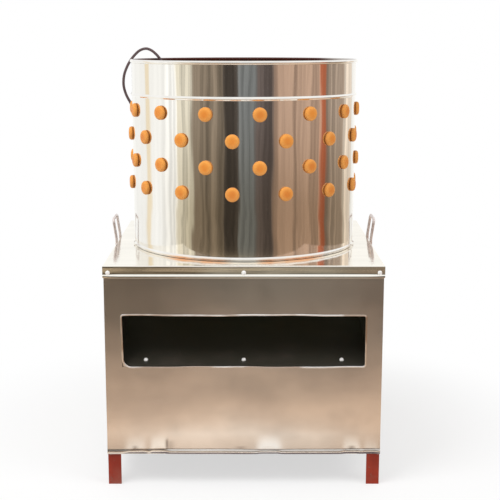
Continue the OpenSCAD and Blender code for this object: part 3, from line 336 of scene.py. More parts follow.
def wall_bulge(z):
    """How far the wall stands out at a height: two beads, each a raised cosine 9 mm wide, which the
    power 0.8 fills out a little."""
    bulge = np.zeros_like(z)
    for centre in BEADS:
        s = np.clip(np.abs(z - centre) / BEAD_HALF, 0, 1)
        bulge += BEAD_RISE * (0.5 + 0.5 * np.cos(np.pi * s)) ** 0.8
    return bulge


height = np.unique(np.concatenate([
    np.linspace(DECK + 0.0008, RIM - 0.0088, 40), np.linspace(-0.005, 0.005, 21) + BEADS[0],
    np.linspace(-0.0045, 0.005, 21) + BEADS[1]]))
outer = np.column_stack([DRUM_R + wall_bulge(height), height])
inner = np.column_stack([DRUM_R - SHEET + wall_bulge(height), height])
rim_turn = np.linspace(-1.75, np.pi + 0.9, RIM_STEPS)
rim = np.column_stack([DRUM_R + WIRE_R * np.cos(rim_turn), RIM - WIRE_R + WIRE_R * np.sin(rim_turn)])
foot = [(THROAT_R, DECK + SHEET), (THROAT_R, DECK + 0.0001), (DRUM_R - 0.001, DECK + 0.0001)]
section = np.concatenate([outer, rim, inner[::-1], foot])
# from the crest of the rim on, the points of the section lie inside
inside = np.repeat(np.arange(len(section)) >= len(outer) + RIM_CREST, DRUM_STEPS)
drum = add_piece("drum_wall", turned(section, DRUM_STEPS),
                 grid_quads(len(section), DRUM_STEPS, True, True),
                 "cabinet", "polished_steel", sharp=50, inside=inside)
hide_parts("drum_shell")
print("drum points:", len(drum.data.vertices))

# %% [markdown]
# ## Rubber fingers
# A plucking finger is pushed through its hole until a groove grips the sheet. Outside shows a domed
# button; inside a ribbed, tapering rod does the work. It could be put together from cylinders and
# rings. One profile, drawn from the button to the tip, leaves no seams between them.

# %% Finger shape
RIBS, RIB_RISE = 6, 0.0006


def finger_shape(sheet):
    """Button, neck, collar and rod of a finger as (radius, length). The rod's radius falls evenly
    to its tip, and ribs add a cosine wave to it."""
    button = rounded([(0.0001, -0.0100), (0.0085, -0.0099), (0.0142, -0.0086), (0.0165, -0.0050),
                      (0.0165, -0.0006), (0.0150, 0.0), (0.0100, 0.0)],
                     [0.004, 0.004, 0.003, 0.0008, 0.0004], 3)
    neck = np.array([(0.0100, sheet), (0.0120, sheet + 0.0001)])
    collar = rounded([(0.0122, sheet + 0.0001), (0.0125, sheet + 0.003), (0.0120, sheet + 0.006),
                      (0.0108, sheet + 0.0062)], [0.001, 0.001], 3)
    z = np.linspace(sheet + 0.006, sheet + 0.082, 41)
    rod = np.interp(z, [sheet + 0.006, sheet + 0.085], [0.0108, 0.0073])
    rod += RIB_RISE * (1 + np.cos(2 * np.pi * RIBS * (z - z[0]) / (z[-1] - z[0]) + np.pi))
    tip = rounded([(rod[-1], z[-1]), (0.0072, sheet + 0.085), (0.0001, sheet + 0.0851)], [0.003], 4)[1:]
    return np.concatenate([button, neck, collar, np.column_stack([rod, z]), tip])


print("finger rows:", len(finger_shape(SHEET)))

# %% [markdown]
# Four rings of fourteen fingers stand in the drum, each ring turned by half a step against the one
# above, and three rings stand on the turntable. An Array modifier could repeat a finger, but all copies
# would be alike. Here the points are turned to every place at once, and each finger carries a tone of
# its own and how far along and across it a point lies, for the finish.

# %% Fingers in their places
FINGER_STEPS, PER_RING, FIRST_TURN = 28, 14, 7.5
RING_TOP, RING_DROP = 0.857, 0.06
PLATE_TOP, PLATE_RINGS = 0.526, ((0.2145, 24), (0.1545, 16), (0.0945, 8))


def set_of_fingers(name, node, body, shape, turns, moves, lean, seed):
    """Copies of one finger: each is turned about Z by its angle after being moved and leaned."""
    base = turned(shape, FINGER_STEPS)
    if lean:
        base = np.column_stack([-base[:, 1], base[:, 2], -base[:, 0]])
    x, y, z = np.moveaxis(base[None] + moves[:, None, :], -1, 0)
    c, s = np.cos(turns)[:, None], np.sin(turns)[:, None]
    points = np.stack([c * x - s * y, s * x + c * y, z], -1).reshape(-1, 3)
    faces = capped_rings(len(shape), FINGER_STEPS, len(turns))
    rng = np.random.default_rng(seed)
    tone = np.repeat(rng.random(len(turns)), len(base))
    across, along = (np.tile(np.repeat(shape[:, k], FINGER_STEPS), len(turns)) for k in (0, 1))
    piece = add_piece(name, points, faces, body, "orange_rubber", 50,
                      tone=tone, along=along, across=across)
    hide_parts(node)
    print(name, len(turns), "fingers")
    return piece


fingers = []
wall_shape = finger_shape(SHEET + 0.00058)
for row in range(4):
    angles = np.radians(FIRST_TURN + 360 / PER_RING * (np.arange(PER_RING) - (row % 2) / 2))
    spots = np.tile([0.0, -DRUM_R, RING_TOP - RING_DROP * row + 0.0001], (PER_RING, 1))
    fingers.append(set_of_fingers(f"wall_ring_{row + 1}", f"wall_fingers_{row + 1}", "cabinet",
                                  wall_shape, angles, spots, True, 10 + row))
plate_turns = np.concatenate([2 * np.pi * (np.arange(n) + 0.5) / n for _, n in PLATE_RINGS])
plate_spots = np.concatenate([np.tile([r, 0, PLATE_TOP], (n, 1)) for r, n in PLATE_RINGS])
fingers.append(set_of_fingers("plate_ring", "plate_fingers", "turntable", finger_shape(0.0043),
                              plate_turns, plate_spots, False, 20))

# %% [markdown]
# ## The deck
# The deck is a shallow tray turned upside down: a flat top with a round throat and folded edges. In
# front and behind, the hem of its flange is rolled out into a bead that catches the light as a bright
# line. A box cut by a Boolean would leave long thin faces that shade badly. Instead, rings of points
# lead from the circle of the throat to the square of the edge along the same rays, so the top stays
# flat.

# %% Deck
FLANGE, RAYS = 0.319, 192


def edge_ring(half, z, rays, side=FLANGE):
    """Points at a height where rays from the middle meet a rectangle: 1 / max(|cos| / x, |sin| / y).
    Its half width x never passes the side, so the bead stands out only in front and behind."""
    reach = 1 / np.maximum(np.abs(np.cos(rays)) / min(half, side), np.abs(np.sin(rays)) / half)
    return np.column_stack([reach * np.cos(rays), reach * np.sin(rays), np.full_like(rays, z)])


rays = np.linspace(0, 2 * np.pi, RAYS, endpoint=False)
throat = turned([(THROAT_R, 0.5205), (THROAT_R, 0.5216), (0.2700, DECK), (0.2708, DECK)], RAYS)
fold = rounded([(0.3130, DECK), (FLANGE, DECK), (FLANGE, 0.5160)], [0.0026], 9)[:-1]
drop = np.linspace(0, 1, 13)
bead = np.column_stack([FLANGE + 0.0024 * ease(drop), 0.5032 - 0.0058 * drop])
back = [(0.3214, 0.4952), (0.3214, 0.4947), (0.3210, 0.4942), (0.3200, 0.4941), (0.3175, 0.4941),
        (0.3175, 0.5205), (0.300, 0.5205)]
edge = np.concatenate([fold, [(FLANGE, 0.5190), (FLANGE, 0.5040)], bead, back])
deck_points = np.concatenate([throat] + [edge_ring(half, z, rays) for half, z in edge])
deck_rows = len(deck_points) // RAYS
deck = add_piece("deck_tray", deck_points, grid_quads(deck_rows, RAYS, True, True), "cabinet",
                 "polished_steel", sharp=40)
deck.data.flip_normals()
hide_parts("deck_cover")
print("deck rows:", deck_rows)

# %% [markdown]
# ## The outlet's lip
# The edge of the outlet is folded over so that nobody is cut by it, and it shows as a bright line
# against the dark chute. A curve with a bevel could follow the edge, but it would be round all the way.
# A small section carried around the rectangle can be flat behind. The lower left corner is rounder than
# the others, and a flat web behind the lip fills it out to the square hole in the sheet.

# %% Outlet lip
OUTLET_HALF, OUTLET_LOW, OUTLET_HIGH = 0.277, 0.287, 0.405
LIP_R, LIP_FACE, LIP_RISE = 0.0022, -0.3174, 0.0024
LIP_CORNERS, HOLE_CORNERS = (0.005, 0.003, 0.003, 0.019), (0.002, 0.002, 0.002, 0.002)


def frame_ring(out, y, radii, steps=24, arc=8):
    """Points around the outlet, grown outwards: a quarter circle about each corner's centre, and an
    even split of the straight runs between them. The radii start at the lower right and turn left."""
    t = np.linspace(0, 1, steps, endpoint=False)[:, None]
    turns = np.linspace(0, np.pi / 2, arc)
    corners = []
    signs = ((1, -1), (1, 1), (-1, 1), (-1, -1))
    for (sx, sz), start, radius in zip(signs, (np.arange(4) - 1) * np.pi / 2, radii):
        end = OUTLET_LOW if sz < 0 else OUTLET_HIGH
        centre = np.array([sx * (OUTLET_HALF - radius), end - sz * radius])
        round_end = np.column_stack([np.cos(start + turns), np.sin(start + turns)])
        corners.append(centre + (radius + out) * round_end)
    ring = np.concatenate([np.concatenate([c[:-1], c[-1] + (n[0] - c[-1]) * t])
                           for c, n in zip(corners, corners[1:] + corners[:1])])
    return np.column_stack([ring[:, 0], np.full(len(ring), y), ring[:, 1]])


lip_turn = np.linspace(0, np.pi, 13)
lip_roll = np.column_stack([LIP_R + LIP_R * np.cos(lip_turn), LIP_FACE - LIP_RISE * np.sin(lip_turn)])
lip_section = np.concatenate([lip_roll, [(0.0, -0.3162), (0.0009, -0.3162), (0.0009, -0.3172)]])
web = frame_ring(0.0015, -0.3173, HOLE_CORNERS)
lip_points = np.concatenate([web] + [frame_ring(out, y, LIP_CORNERS) for out, y in lip_section])
# the folded edge wavers by two sine waves, and its left side leans in towards the foot
lip_x, lip_z = lip_points[:, 0], lip_points[:, 2]
lip_z += 0.0008 * np.sin(lip_x * 19 + lip_z * 31) + 0.0004 * np.sin(lip_x * 53 + 1.3)
lean_in = np.clip((OUTLET_HIGH - lip_z) / (OUTLET_HIGH - OUTLET_LOW), 0, 1) * (lip_x < 0)
lip_x += 0.0025 * lean_in * np.clip(-lip_x / OUTLET_HALF, 0, 1) ** 6
lip_rows = len(lip_section) + 1
lip = add_piece("outlet_rolled_lip", lip_points, grid_quads(lip_rows, len(web), True, True), "cabinet",
                "bright_steel", sharp=40)
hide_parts("outlet_lip")
print("lip rows:", lip_rows)

# %% [markdown]
# ## The front sheet
# Thin sheet is never quite flat. Near the floor it has been kicked and bumped, its lower edge is rolled
# into a hem, and its creases are darkened with painted shade. Dents could be sculpted, or faked with a
# bump. Here a formula bends the sheet itself, because a satin sheet shows true dents in its reflections,
# and the formula gives the same dents each time.

# %% How the sheet bends
# a kick: its middle along X, half its width and its depth
KICKS = [(-0.250, 0.024, 1.4), (-0.197, 0.018, 1.6), (0.059, 0.026, 1.6), (0.250, 0.019, 1.6),
         (0.294, 0.017, 1.1)]
# a crease's painted shade: its middle in X and Z, half its width and height, and how dark it is
CREASES = [(-0.1785, 0.0985, 0.0034, 0.0125, 0.80), (-0.1715, 0.0965, 0.0090, 0.0110, 0.28),
           (0.251, 0.0905, 0.0075, 0.0040, 0.55), (-0.007, 0.0905, 0.0110, 0.0035, 0.35),
           (-0.253, 0.0900, 0.0060, 0.0040, 0.5)]


def sheet_swell(x, z):
    """How far the sheet stands forward: its foot leans out with the square of the distance below
    124 mm, except where a kick has pushed it in, and a hem roll runs along it. A kick fades with the
    fourth power of the distance from its middle, so it has a flat floor and a crease at each side. Slow
    sine waves bend the rest of the sheet."""
    lean = np.ones_like(x)
    for at_x, wide, depth in KICKS:
        lean = lean - depth * np.exp(-((x - at_x) / wide) ** 4)
    swell = 0.0021 * (np.clip(0.124 - z, 0, 1) / 0.042) ** 2 * lean
    at = z + 0.0006 * np.sin(16 * x + 0.6) + 0.0003 * np.sin(37 * x)
    roll = ease((0.0880 - at) / 0.0066) * ease((at - 0.0742) / 0.0062)
    swell = np.maximum(swell, -0.0006) + 0.0020 * roll * (0.5 + 0.5 * ease((x + 0.2) / 0.03))
    soft = 0.0012 * np.sin(9 * x + 1.0) * np.sin(14 * z)
    soft = soft + 0.0004 * np.sin(23 * x + 2.0) * np.sin(31 * z + 1.0)
    return swell + (0.0016 + soft) * np.interp(z, [0.08, 0.2, 0.5], [0.2, 1, 0])


def painted_crease_shade(x, z):
    """Painted shade in the creases at the foot: the largest of several soft spots, each exp(-dx^2 -
    dz^4).
    """
    shade_amount = np.zeros_like(x)
    for at_x, at_z, wide, high, depth in CREASES:
        spot = np.exp(-((x - at_x) / wide) ** 2 - ((z - at_z) / high) ** 4)
        shade_amount = np.maximum(shade_amount, depth * spot)
    return shade_amount


print("kicks:", len(KICKS), "creases:", len(CREASES))

# %% [markdown]
# The sheet is one grid that runs up the front, down the back and round the hem. A Boolean could cut the
# outlet. Leaving out the cells inside it is cleaner, and a strip of faces joins front and back around
# the hole.

# %% Front sheet
PANEL_HALF, PANEL_FRONT, PANEL_BACK = 0.317, -0.317, -0.316
HOLE_HALF, HOLE_LOW, HOLE_HIGH = 0.278, 0.286, 0.406
TUCK_HALF, TUCK_END, TUCK_DEEP, TUCK_SHALLOW = 0.285, 0.2851, 0.0115, 0.0003


def front_sheet():
    """Points and faces of the sheet: rows run along X, and the columns of the profile are closed. The
    hem is tucked back between the legs, and hardly at all in front of them."""
    x = np.unique(np.concatenate([np.linspace(-PANEL_HALF, PANEL_HALF, 241),
                                  [-HOLE_HALF, HOLE_HALF, -TUCK_END, TUCK_END]]))
    z = np.unique(np.concatenate([np.linspace(0.0752, 0.090, 26), np.linspace(0.092, 0.128, 16),
                                  np.linspace(0.13, 0.5198, 40), [HOLE_LOW, HOLE_HIGH]]))
    grid_x, grid_z = np.meshgrid(x, z)
    swell = sheet_swell(grid_x, grid_z)
    front = np.stack([grid_x, PANEL_FRONT - swell, grid_z], -1)
    back = np.stack([grid_x, PANEL_BACK - swell, grid_z], -1)[::-1]
    tuck = PANEL_BACK + np.where(np.abs(x) < TUCK_HALF, TUCK_DEEP, TUCK_SHALLOW)
    hem = [(tuck, 0.0752), (tuck, 0.0743), (-0.3158, 0.0743), (-0.3168, 0.0747)]
    hem = np.stack([np.stack(np.broadcast_arrays(x, y, h), -1) for y, h in hem])
    points = np.concatenate([front, back, hem])
    rows, cols = points.shape[:2]
    quads = grid_quads(rows, cols, close_rows=True)
    mid_x, _, mid_z = points.reshape(-1, 3)[quads].mean(1).T
    hole = (np.abs(mid_x) < HOLE_HALF) & (mid_z > HOLE_LOW) & (mid_z < HOLE_HIGH)
    left, right = np.searchsorted(x, [-HOLE_HALF, HOLE_HALF])
    low, high = np.searchsorted(z, [HOLE_LOW, HOLE_HIGH])
    over, up = np.arange(left, right), np.arange(low, high)
    i = np.concatenate([np.full(len(over), low), up, np.full(len(over), high), up[::-1] + 1])
    j = np.concatenate([over, np.full(len(up), right), over[::-1] + 1, np.full(len(up), left)])
    ahead, behind = i * cols + j, (2 * len(z) - 1 - i) * cols + j
    strip = np.stack([ahead, np.roll(ahead, -1), np.roll(behind, -1), behind], -1)
    ends = [(np.arange(rows) * cols).tolist(), (np.arange(rows)[::-1] * cols + cols - 1).tolist()]
    return points.reshape(-1, 3), quads[~hole].tolist() + strip.tolist() + ends


sheet_points, sheet_faces = front_sheet()
sheet = add_piece("front_sheet", sheet_points, sheet_faces, "cabinet", "panel_steel", sharp=40,
                  # each point of the sheet carries how much painted shade darkens it in the creases
                  grime=painted_crease_shade(sheet_points[:, 0], sheet_points[:, 2]))
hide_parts("front_panel")
print("front sheet faces:", len(sheet.data.polygons))

# %% [markdown]
# ## Screws
# The deck and the chute are held by pan-head screws with a nut behind. A squashed ball could be the
# head, but a flattened quarter circle that is turned has a cleaner edge where it meets the sheet. The
# nut is turned too, in only six steps.

# %% Screws
SCREW_STEPS, NUT_SIDES, SHANK_R, NUT_HIGH = 24, 6, 0.0025, 0.004
HEAD_R, DECK_SCREW_X, CHUTE_SCREW_X = 0.0052, (-0.307, 0.0, 0.307), (-0.226, 0.0, 0.226)
DECK_SCREW_Z, DECK_HEAD, DECK_GRIP = 0.50605, 0.00295, 0.006
CHUTE_FRONT, CHUTE_LOW, CHUTE_RUN, CHUTE_RISE = -0.3157, 0.290, 0.6017, 0.172
UP_CHUTE, CHUTE_HEAD, CHUTE_GRIP = 0.020, 0.0048, 0.0048


def add_screws(name, node, places, axis, head_h, grip):
    """Screws at places along an axis: points = place + x u + y v + z axis, with u along X and v square
    to both. The head's profile is r = R sin(t)^0.7, h = H cos(t)."""
    t = np.linspace(np.pi / 2, 0.01, 9)
    dome = np.column_stack([HEAD_R * np.sin(t) ** 0.7, head_h * np.cos(t)])
    end = -grip - 0.006
    shank = [(0.0001, end), (SHANK_R, end), (SHANK_R, 0.0), (HEAD_R - 0.0003, 0.0)]
    shape = np.concatenate([shank, dome])
    nut = [(0.0026, -grip - NUT_HIGH), (0.0046, -grip - NUT_HIGH), (0.0046, -grip), (0.0026, -grip)]
    screw = turned(shape, SCREW_STEPS)
    base = np.concatenate([screw, turned(nut, NUT_SIDES)])
    one = capped_rings(len(shape), SCREW_STEPS)
    one += (grid_quads(len(nut), NUT_SIDES, True, True) + len(screw)).tolist()
    places = np.asarray(places, float)
    along = np.broadcast_to(np.asarray(axis, float), places.shape)
    across = np.broadcast_to([1.0, 0.0, 0.0], places.shape)
    axes = np.stack([across, np.cross(along, across), along], 1)
    points = (places[:, None] + np.einsum("pk,nkc->npc", base, axes)).reshape(-1, 3)
    starts = range(0, len(points), len(base))
    faces = [(np.array(face) + first).tolist() for first in starts for face in one]
    piece = add_piece(name, points, faces, "cabinet", "bright_steel", 40)
    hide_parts(node)
    print(name, len(places), "screws")
    return piece


screw_rows = [(x, side * FLANGE, DECK_SCREW_Z) for side in (-1, 1) for x in DECK_SCREW_X]
facing = [(0, side, 0) for side in (-1, 1) for _ in DECK_SCREW_X]
deck_screws = add_screws("deck_pan_screws", "deck_screws", screw_rows, facing, DECK_HEAD, DECK_GRIP)
slope = math.atan2(CHUTE_RISE, CHUTE_RUN)
chute_rows = [(x, CHUTE_FRONT + UP_CHUTE * math.cos(slope), CHUTE_LOW + UP_CHUTE * math.sin(slope))
              for x in CHUTE_SCREW_X]
chute_screws = add_screws("chute_pan_screws", "chute_screws", chute_rows,
                          (0, -math.sin(slope), math.cos(slope)), CHUTE_HEAD, CHUTE_GRIP)

# %% [markdown]
# ## Writing finishes as sums
# A finish is a small network of nodes. It could be wired by hand, socket by socket. Writing it as Python
# expressions keeps it readable: a wrapped socket that is added to or multiplied by something makes the
# Math node by itself.

# %% Values
class Value:
    """A number that varies over a surface; sums and products with it add Math nodes."""

    def __init__(self, nodes, socket):
        self.nodes = nodes
        self.socket = socket

    def math(self, operation, *others):
        """A Math node that takes this value first."""
        return self.nodes.node("ShaderNodeMath", {"operation": operation},
                               dict(enumerate((self,) + others)))

    def __add__(self, other):
        return self.math("ADD", other)

    def __sub__(self, other):
        return self.math("SUBTRACT", other)

    def __rsub__(self, other):
        """A number minus this value: the value times -1, plus the number."""
        return self.math("MULTIPLY_ADD", -1.0, other)

    def __mul__(self, other):
        return self.math("MULTIPLY", other)

    def __pow__(self, other):
        return self.math("POWER", other)

    # the order doesn't matter in a sum or a product
    __radd__ = __add__
    __rmul__ = __mul__

    def between(self, low, high):
        """0 below low, 1 above high, smooth between."""
        return self.nodes.node("ShaderNodeMapRange", {"interpolation_type": "SMOOTHSTEP"},
                               {"Value": self, "From Min": low, "From Max": high})


print("value class ready")

# %% [markdown]
# Any other node is made in one way, from its kind, its settings and what its sockets take. Materials
# and the sky share this.

# %% Nodes
class Nodes:
    """A node tree and one way to make any node in it."""

    def __init__(self, tree):
        self.tree = tree

    def put(self, socket, value):
        """Links a value to a socket, or sets the socket to a number or a colour."""
        if isinstance(value, Value):
            self.tree.links.new(value.socket, socket)
        elif isinstance(value, (tuple, list)) and socket.type == "RGBA":
            socket.default_value = tuple(value) + (1.0,) * (4 - len(value))
        else:
            socket.default_value = value

    def make(self, kind, settings=None, inputs=None):
        """A node of a kind: its settings first, then the values or links of its sockets."""
        made = self.tree.nodes.new(kind)
        for key, value in (settings or {}).items():
            setattr(made, key, value)
        for key, value in (inputs or {}).items():
            self.put(made.inputs[key], value)
        return made

    def node(self, kind, settings=None, inputs=None, output=0):
        """One output of a new node, as a value."""
        return Value(self, self.make(kind, settings, inputs).outputs[output])

    def seen(self):
        """1 for a ray that comes from the camera, a mirror or a glass, and 0 for one that only lights."""
        camera_ray, mirror_ray, glass_ray = (
            self.node("ShaderNodeLightPath", {}, {}, f"Is {kind} Ray")
            for kind in ("Camera", "Glossy", "Transmission"))
        return camera_ray + mirror_ray + glass_ray


print("node class ready")

# %% [markdown]
# A finish is such a tree with one Principled shader. Its patterns could follow a UV map, but Object
# coordinates need no unwrapping, and they stay where they are on a piece when it moves.

# %% Finishes
class Finish(Nodes):
    """A material with one Principled shader, and the textures that its sockets take."""

    def __init__(self, name):
        self.material = bpy.data.materials.new(name)
        self.material.use_nodes = True
        super().__init__(self.material.node_tree)
        self.tree.nodes.clear()
        self.shader = self.make("ShaderNodeBsdfPrincipled")
        self.surface = Value(self, self.shader.outputs[0])
        self.output = self.make("ShaderNodeOutputMaterial", {}, {"Surface": self.surface})
        self.places = self.node("ShaderNodeTexCoord", {}, {}, "Object")

    def stretched(self, x, y, z):
        """Object coordinates times a scale on each axis: a small scale draws a pattern out."""
        return self.node("ShaderNodeMapping", {}, {"Vector": self.places, "Scale": (x, y, z)})

    def noise(self, scale, detail=3.0, where=None):
        """Soft noise at the places on a piece, or at stretched ones."""
        return self.node("ShaderNodeTexNoise", {}, {"Vector": where or self.places, "Scale": scale,
                                                    "Detail": detail})

    def axis(self, name):
        """One of the Object coordinates."""
        return self.node("ShaderNodeSeparateXYZ", {}, {"Vector": self.places}, "XYZ".index(name))

    def attribute(self, name):
        """A value that the points of a piece carry, and 0 where they carry none."""
        return self.node("ShaderNodeAttribute", {"attribute_name": name}, {}, "Fac")

    def mix(self, factor, a, b):
        """Colour a where the factor is 0 and colour b where it is 1."""
        return self.node("ShaderNodeMix", {"data_type": "RGBA"}, {0: factor, 6: a, 7: b}, 2)

    def bump(self, height, strength, distance, normal=None):
        """A slope from a height, on top of another bump if one is given."""
        inputs = {"Height": height, "Strength": strength, "Distance": distance}
        if normal:
            inputs["Normal"] = normal
        return self.node("ShaderNodeBump", {}, inputs)

    def set(self, **sockets):
        """Links or sets sockets of the shader. An underscore stands for a space in a socket's name."""
        for key, value in sockets.items():
            self.put(self.shader.inputs[key.replace("_", " ")], value)


print("finish class ready")

# %% [markdown]
# A finish goes on new pieces and, by name, on CAD nodes. The meshes of the CAD nodes stay as they are,
# so the finish is linked to the object there and not to its mesh.

# %% Dressing
def dress(finish, *pieces):
    """Gives a finish to new pieces and, by node name, to CAD nodes."""
    for piece in pieces:
        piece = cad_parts[piece] if isinstance(piece, str) else piece
        if piece.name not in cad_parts:
            piece.data.materials.clear()
        if len(piece.material_slots):
            for slot in piece.material_slots:
                slot.link = "OBJECT"
                slot.material = finish.material
        else:
            piece.data.materials.append(finish.material)
    print(finish.material.name, "on", len(pieces), "pieces")


# %% [markdown]
# ## Polished sheet
# Rolled stainless sheet keeps faint lines from the rolls and the polishing belt. They run up the drum
# and along the deck, change the gloss a little and bend the reflections into streaks. An anisotropic
# shader could blur along them, but it shows no single line, so noise is stretched along them instead.
# Inside, the drum is rougher and darker, partly a duller face and partly painted shade, with more
# painted shade just under the rim, and the weld at its foot has left a straw-coloured heat tint.

# %% Polished steel
# the first two colours are the inside's darker tint, partly painted shade, and the painted shade under
# the rim
DULL_STEEL_AND_SHADE, UNDER_RIM_SHADE = (0.44, 0.40, 0.37), (0.10, 0.042, 0.036)
HEAT_TINT, HAND_STAIN = (0.93, 0.64, 0.44), (0.50, 0.38, 0.29)


def shaded(tint, share):
    """A colour times a share."""
    return tuple(share * v for v in tint)


def polished(name, lines, tint, gloss, stain=0.0):
    """Steel whose roughness, tint and slope follow noise stretched along the polishing lines. A stain
    adds tan patches where hands and feathers touch it."""
    f = Finish(name)
    fine = f.noise(1.0, 4.0, f.stretched(*shaded(lines, 900)))
    broad = f.noise(1.0, 2.0, f.stretched(*shaded(lines, 26)))
    ripple = f.noise(1.0, 2.0, f.stretched(*shaded(lines, 140)))
    smear = f.noise(5.0, 4.0)
    colour = f.mix(broad.between(0.3, 0.7), shaded(tint, 0.93), tint)
    colour = f.mix(smear.between(0.55, 0.75) * 0.35, colour, shaded(tint, 0.82))
    if stain:
        colour = f.mix(f.noise(11.0, 2.0).between(0.44, 0.60) * stain, colour, HAND_STAIN)
    x, y, z = (f.axis(letter) for letter in "XYZ")
    # inside the drum: rougher, and a darker tint that is partly a duller face and partly painted shade
    inside_face = f.attribute("inside")
    colour = f.mix(inside_face * 0.85, colour, DULL_STEEL_AND_SHADE)
    # painted shade: a dark band inside, just under the rim, that fades out to the right
    under_rim_shade = inside_face * z.between(RIM - 0.012, RIM - 0.006) * (1 - x.between(0.19, 0.25))
    colour = f.mix(under_rim_shade, colour, UNDER_RIM_SHADE)
    beside, from_axis = x.math("ABSOLUTE"), (x * x + y * y) ** 0.5
    weld = (1 - z.between(DECK + 0.003, DECK + 0.0105)) * (1 - from_axis.between(0.282, 0.302))
    weld = weld * beside.between(0.02, 0.06) * (1 - beside.between(0.15, 0.20))
    colour = f.mix(weld * (0.3 + 0.45 * broad.between(0.4, 0.6)), colour, HEAT_TINT)
    f.set(Base_Color=colour, Metallic=1.0,
          Roughness=gloss + 0.05 * smear.between(0.45, 0.75) + 0.03 * fine + 0.3 * inside_face)
    f.set(Normal=f.bump(fine, 0.05, 0.0002, f.bump(ripple, 0.08, 0.0008, f.bump(broad, 0.10, 0.004))))
    return f


dress(polished("drum_polish", (1.0, 1.0, 0.012), (0.93, 0.91, 0.87), 0.05), drum)
dress(polished("deck_polish", (0.02, 1.0, 1.0), (0.98, 0.94, 0.86), 0.06), deck, "throat_ring")
dress(polished("plate_polish", (1.0, 0.05, 1.0), (0.80, 0.79, 0.77), 0.22), "feather_plate")
dress(polished("lip_polish", (0.05, 1.0, 0.05), (0.93, 0.90, 0.87), 0.16, stain=0.8), lip)

# %% [markdown]
# ## Satin panels
# The cabinet is thinner sheet with a satin face. It has been handled, so it carries wiped smears and
# clouds. Its widest and faintest waves could be modelled too, but broad noise in the bump bends the
# reflections as well and costs no points. The painted shade in the creases comes from the value that
# the front sheet carries at each point.

# %% Satin steel
# colour of the painted shade in the creases of the front sheet
CREASE_SHADE = (0.16, 0.13, 0.11)


def satin(name, tint):
    """Steel with a satin face: brush lines along X, wide shallow waves and wiped smears."""
    f = Finish(name)
    brush = f.noise(1.0, 3.0, f.stretched(12.0, 12.0, 1400.0))
    waves = f.noise(4.5, 1.5)
    wipes = f.noise(1.0, 4.0, f.stretched(3.0, 3.0, 9.0))
    clouds = f.noise(7.0, 3.0)
    colour = f.mix(wipes.between(0.35, 0.7), tint, shaded(tint, 0.86))
    colour = f.mix(clouds.between(0.40, 0.68) * 0.65, colour, shaded(tint, 0.74))
    # painted shade: the creases at the foot are darkened by the value that the sheet carries
    colour = f.mix(f.attribute("grime"), colour, CREASE_SHADE)
    f.set(Base_Color=colour, Metallic=1.0, Roughness=0.18 + 0.12 * wipes + 0.02 * brush)
    f.set(Normal=f.bump(brush, 0.006, 0.0002, f.bump(waves, 0.45, 0.01)))
    return f


dress(satin("panel_satin", (0.78, 0.73, 0.68)), sheet, "rear_panel", "left_panel", "right_panel")

# %% [markdown]
# ## Small bright metal
# Bolts, nuts, shafts and races are plated or ground steel: bright, with a fine grain and a little
# dulling in patches. New zinc on the screw heads is nearly white. It scatters more light than it
# mirrors, so the heads stay bright even in the dark mouth of the chute. The handles are drawn rod,
# dulled by hands: a rougher skin spreads what it mirrors, so they look paler and softer. One function
# makes all three, because they differ only in colour, gloss and scale.

# %% Bright steel, white zinc and drawn rod
def small_metal(name, patch_scale, low, high, clean, worn, metal, gloss, spread, grain_scale=900.0):
    """Metal whose colour goes from clean to worn over noise patches, which also roughen it."""
    f = Finish(name)
    patches = f.noise(patch_scale, 3.0)
    grain = f.noise(grain_scale, 2.0)
    f.set(Base_Color=f.mix(patches.between(low, high), clean, worn), Metallic=metal,
          Roughness=gloss + spread * patches, Normal=f.bump(grain, 0.1, 0.0002))
    return f


dress(small_metal("bright_zinc", 60.0, 0.4, 0.7, (0.86, 0.85, 0.83), (0.66, 0.64, 0.60), 1.0, 0.2, 0.15),
      pins, "housing_bolts", "hub_bolts", "hub_nut", "main_shaft", "clamp_bolts", "tension_bolt",
      "motor_bolts", "bearing_outer_races", "bearing_inner_races", "bearing_balls", "motor_bearings")
dress(small_metal("white_zinc", 120.0, 0.3, 0.7, (0.97, 0.96, 0.94), (0.86, 0.84, 0.81), 0.2, 0.32, 0.15,
                  800.0), deck_screws, chute_screws)
dress(small_metal("drawn_rod", 70.0, 0.35, 0.7, (0.86, 0.79, 0.77), (0.70, 0.62, 0.60), 0.8, 0.38, 0.14),
      "handle_left", "handle_right")

# %% [markdown]
# ## Red-oxide frame
# The angle iron was brushed with red-oxide primer. It is chalky, streaked by the brush and scuffed
# near the floor, where dust shows, and bare iron shows in the chips. It could be painted on the mesh by
# hand. Layers of noise, each mixed over the last, do what brush, floor and knocks did in turn.

# %% Red oxide paint
FRESH_OXIDE, THIN_OXIDE, BRUSHED_OXIDE = (0.33, 0.037, 0.018), (0.25, 0.028, 0.014), (0.18, 0.022, 0.014)
FLOOR_DUST, BARE_IRON = (0.30, 0.22, 0.17), (0.16, 0.12, 0.10)
oxide = Finish("red_oxide")
cloudy = oxide.noise(14.0, 4.0)
streaks = oxide.noise(1.0, 3.0, oxide.stretched(260.0, 260.0, 9.0))
chips = oxide.noise(160.0, 4.0).between(0.66, 0.70)
low = 1 - oxide.axis("Z").between(0.0, 0.05)
paint = oxide.mix(cloudy.between(0.3, 0.7), FRESH_OXIDE, THIN_OXIDE)
paint = oxide.mix(streaks.between(0.5, 0.8) * 0.5, paint, BRUSHED_OXIDE)
paint = oxide.mix(low * cloudy.between(0.4, 0.6) * 0.4, paint, FLOOR_DUST)
paint = oxide.mix(chips * 0.8, paint, BARE_IRON)
oxide.set(Base_Color=paint, Specular_IOR_Level=0.2, Roughness=0.48 + 0.2 * cloudy,
          Normal=oxide.bump(streaks, 0.25, 0.0006))
dress(oxide, "legs", "top_rails", "lower_rails", "bearing_beams", "motor_rails")
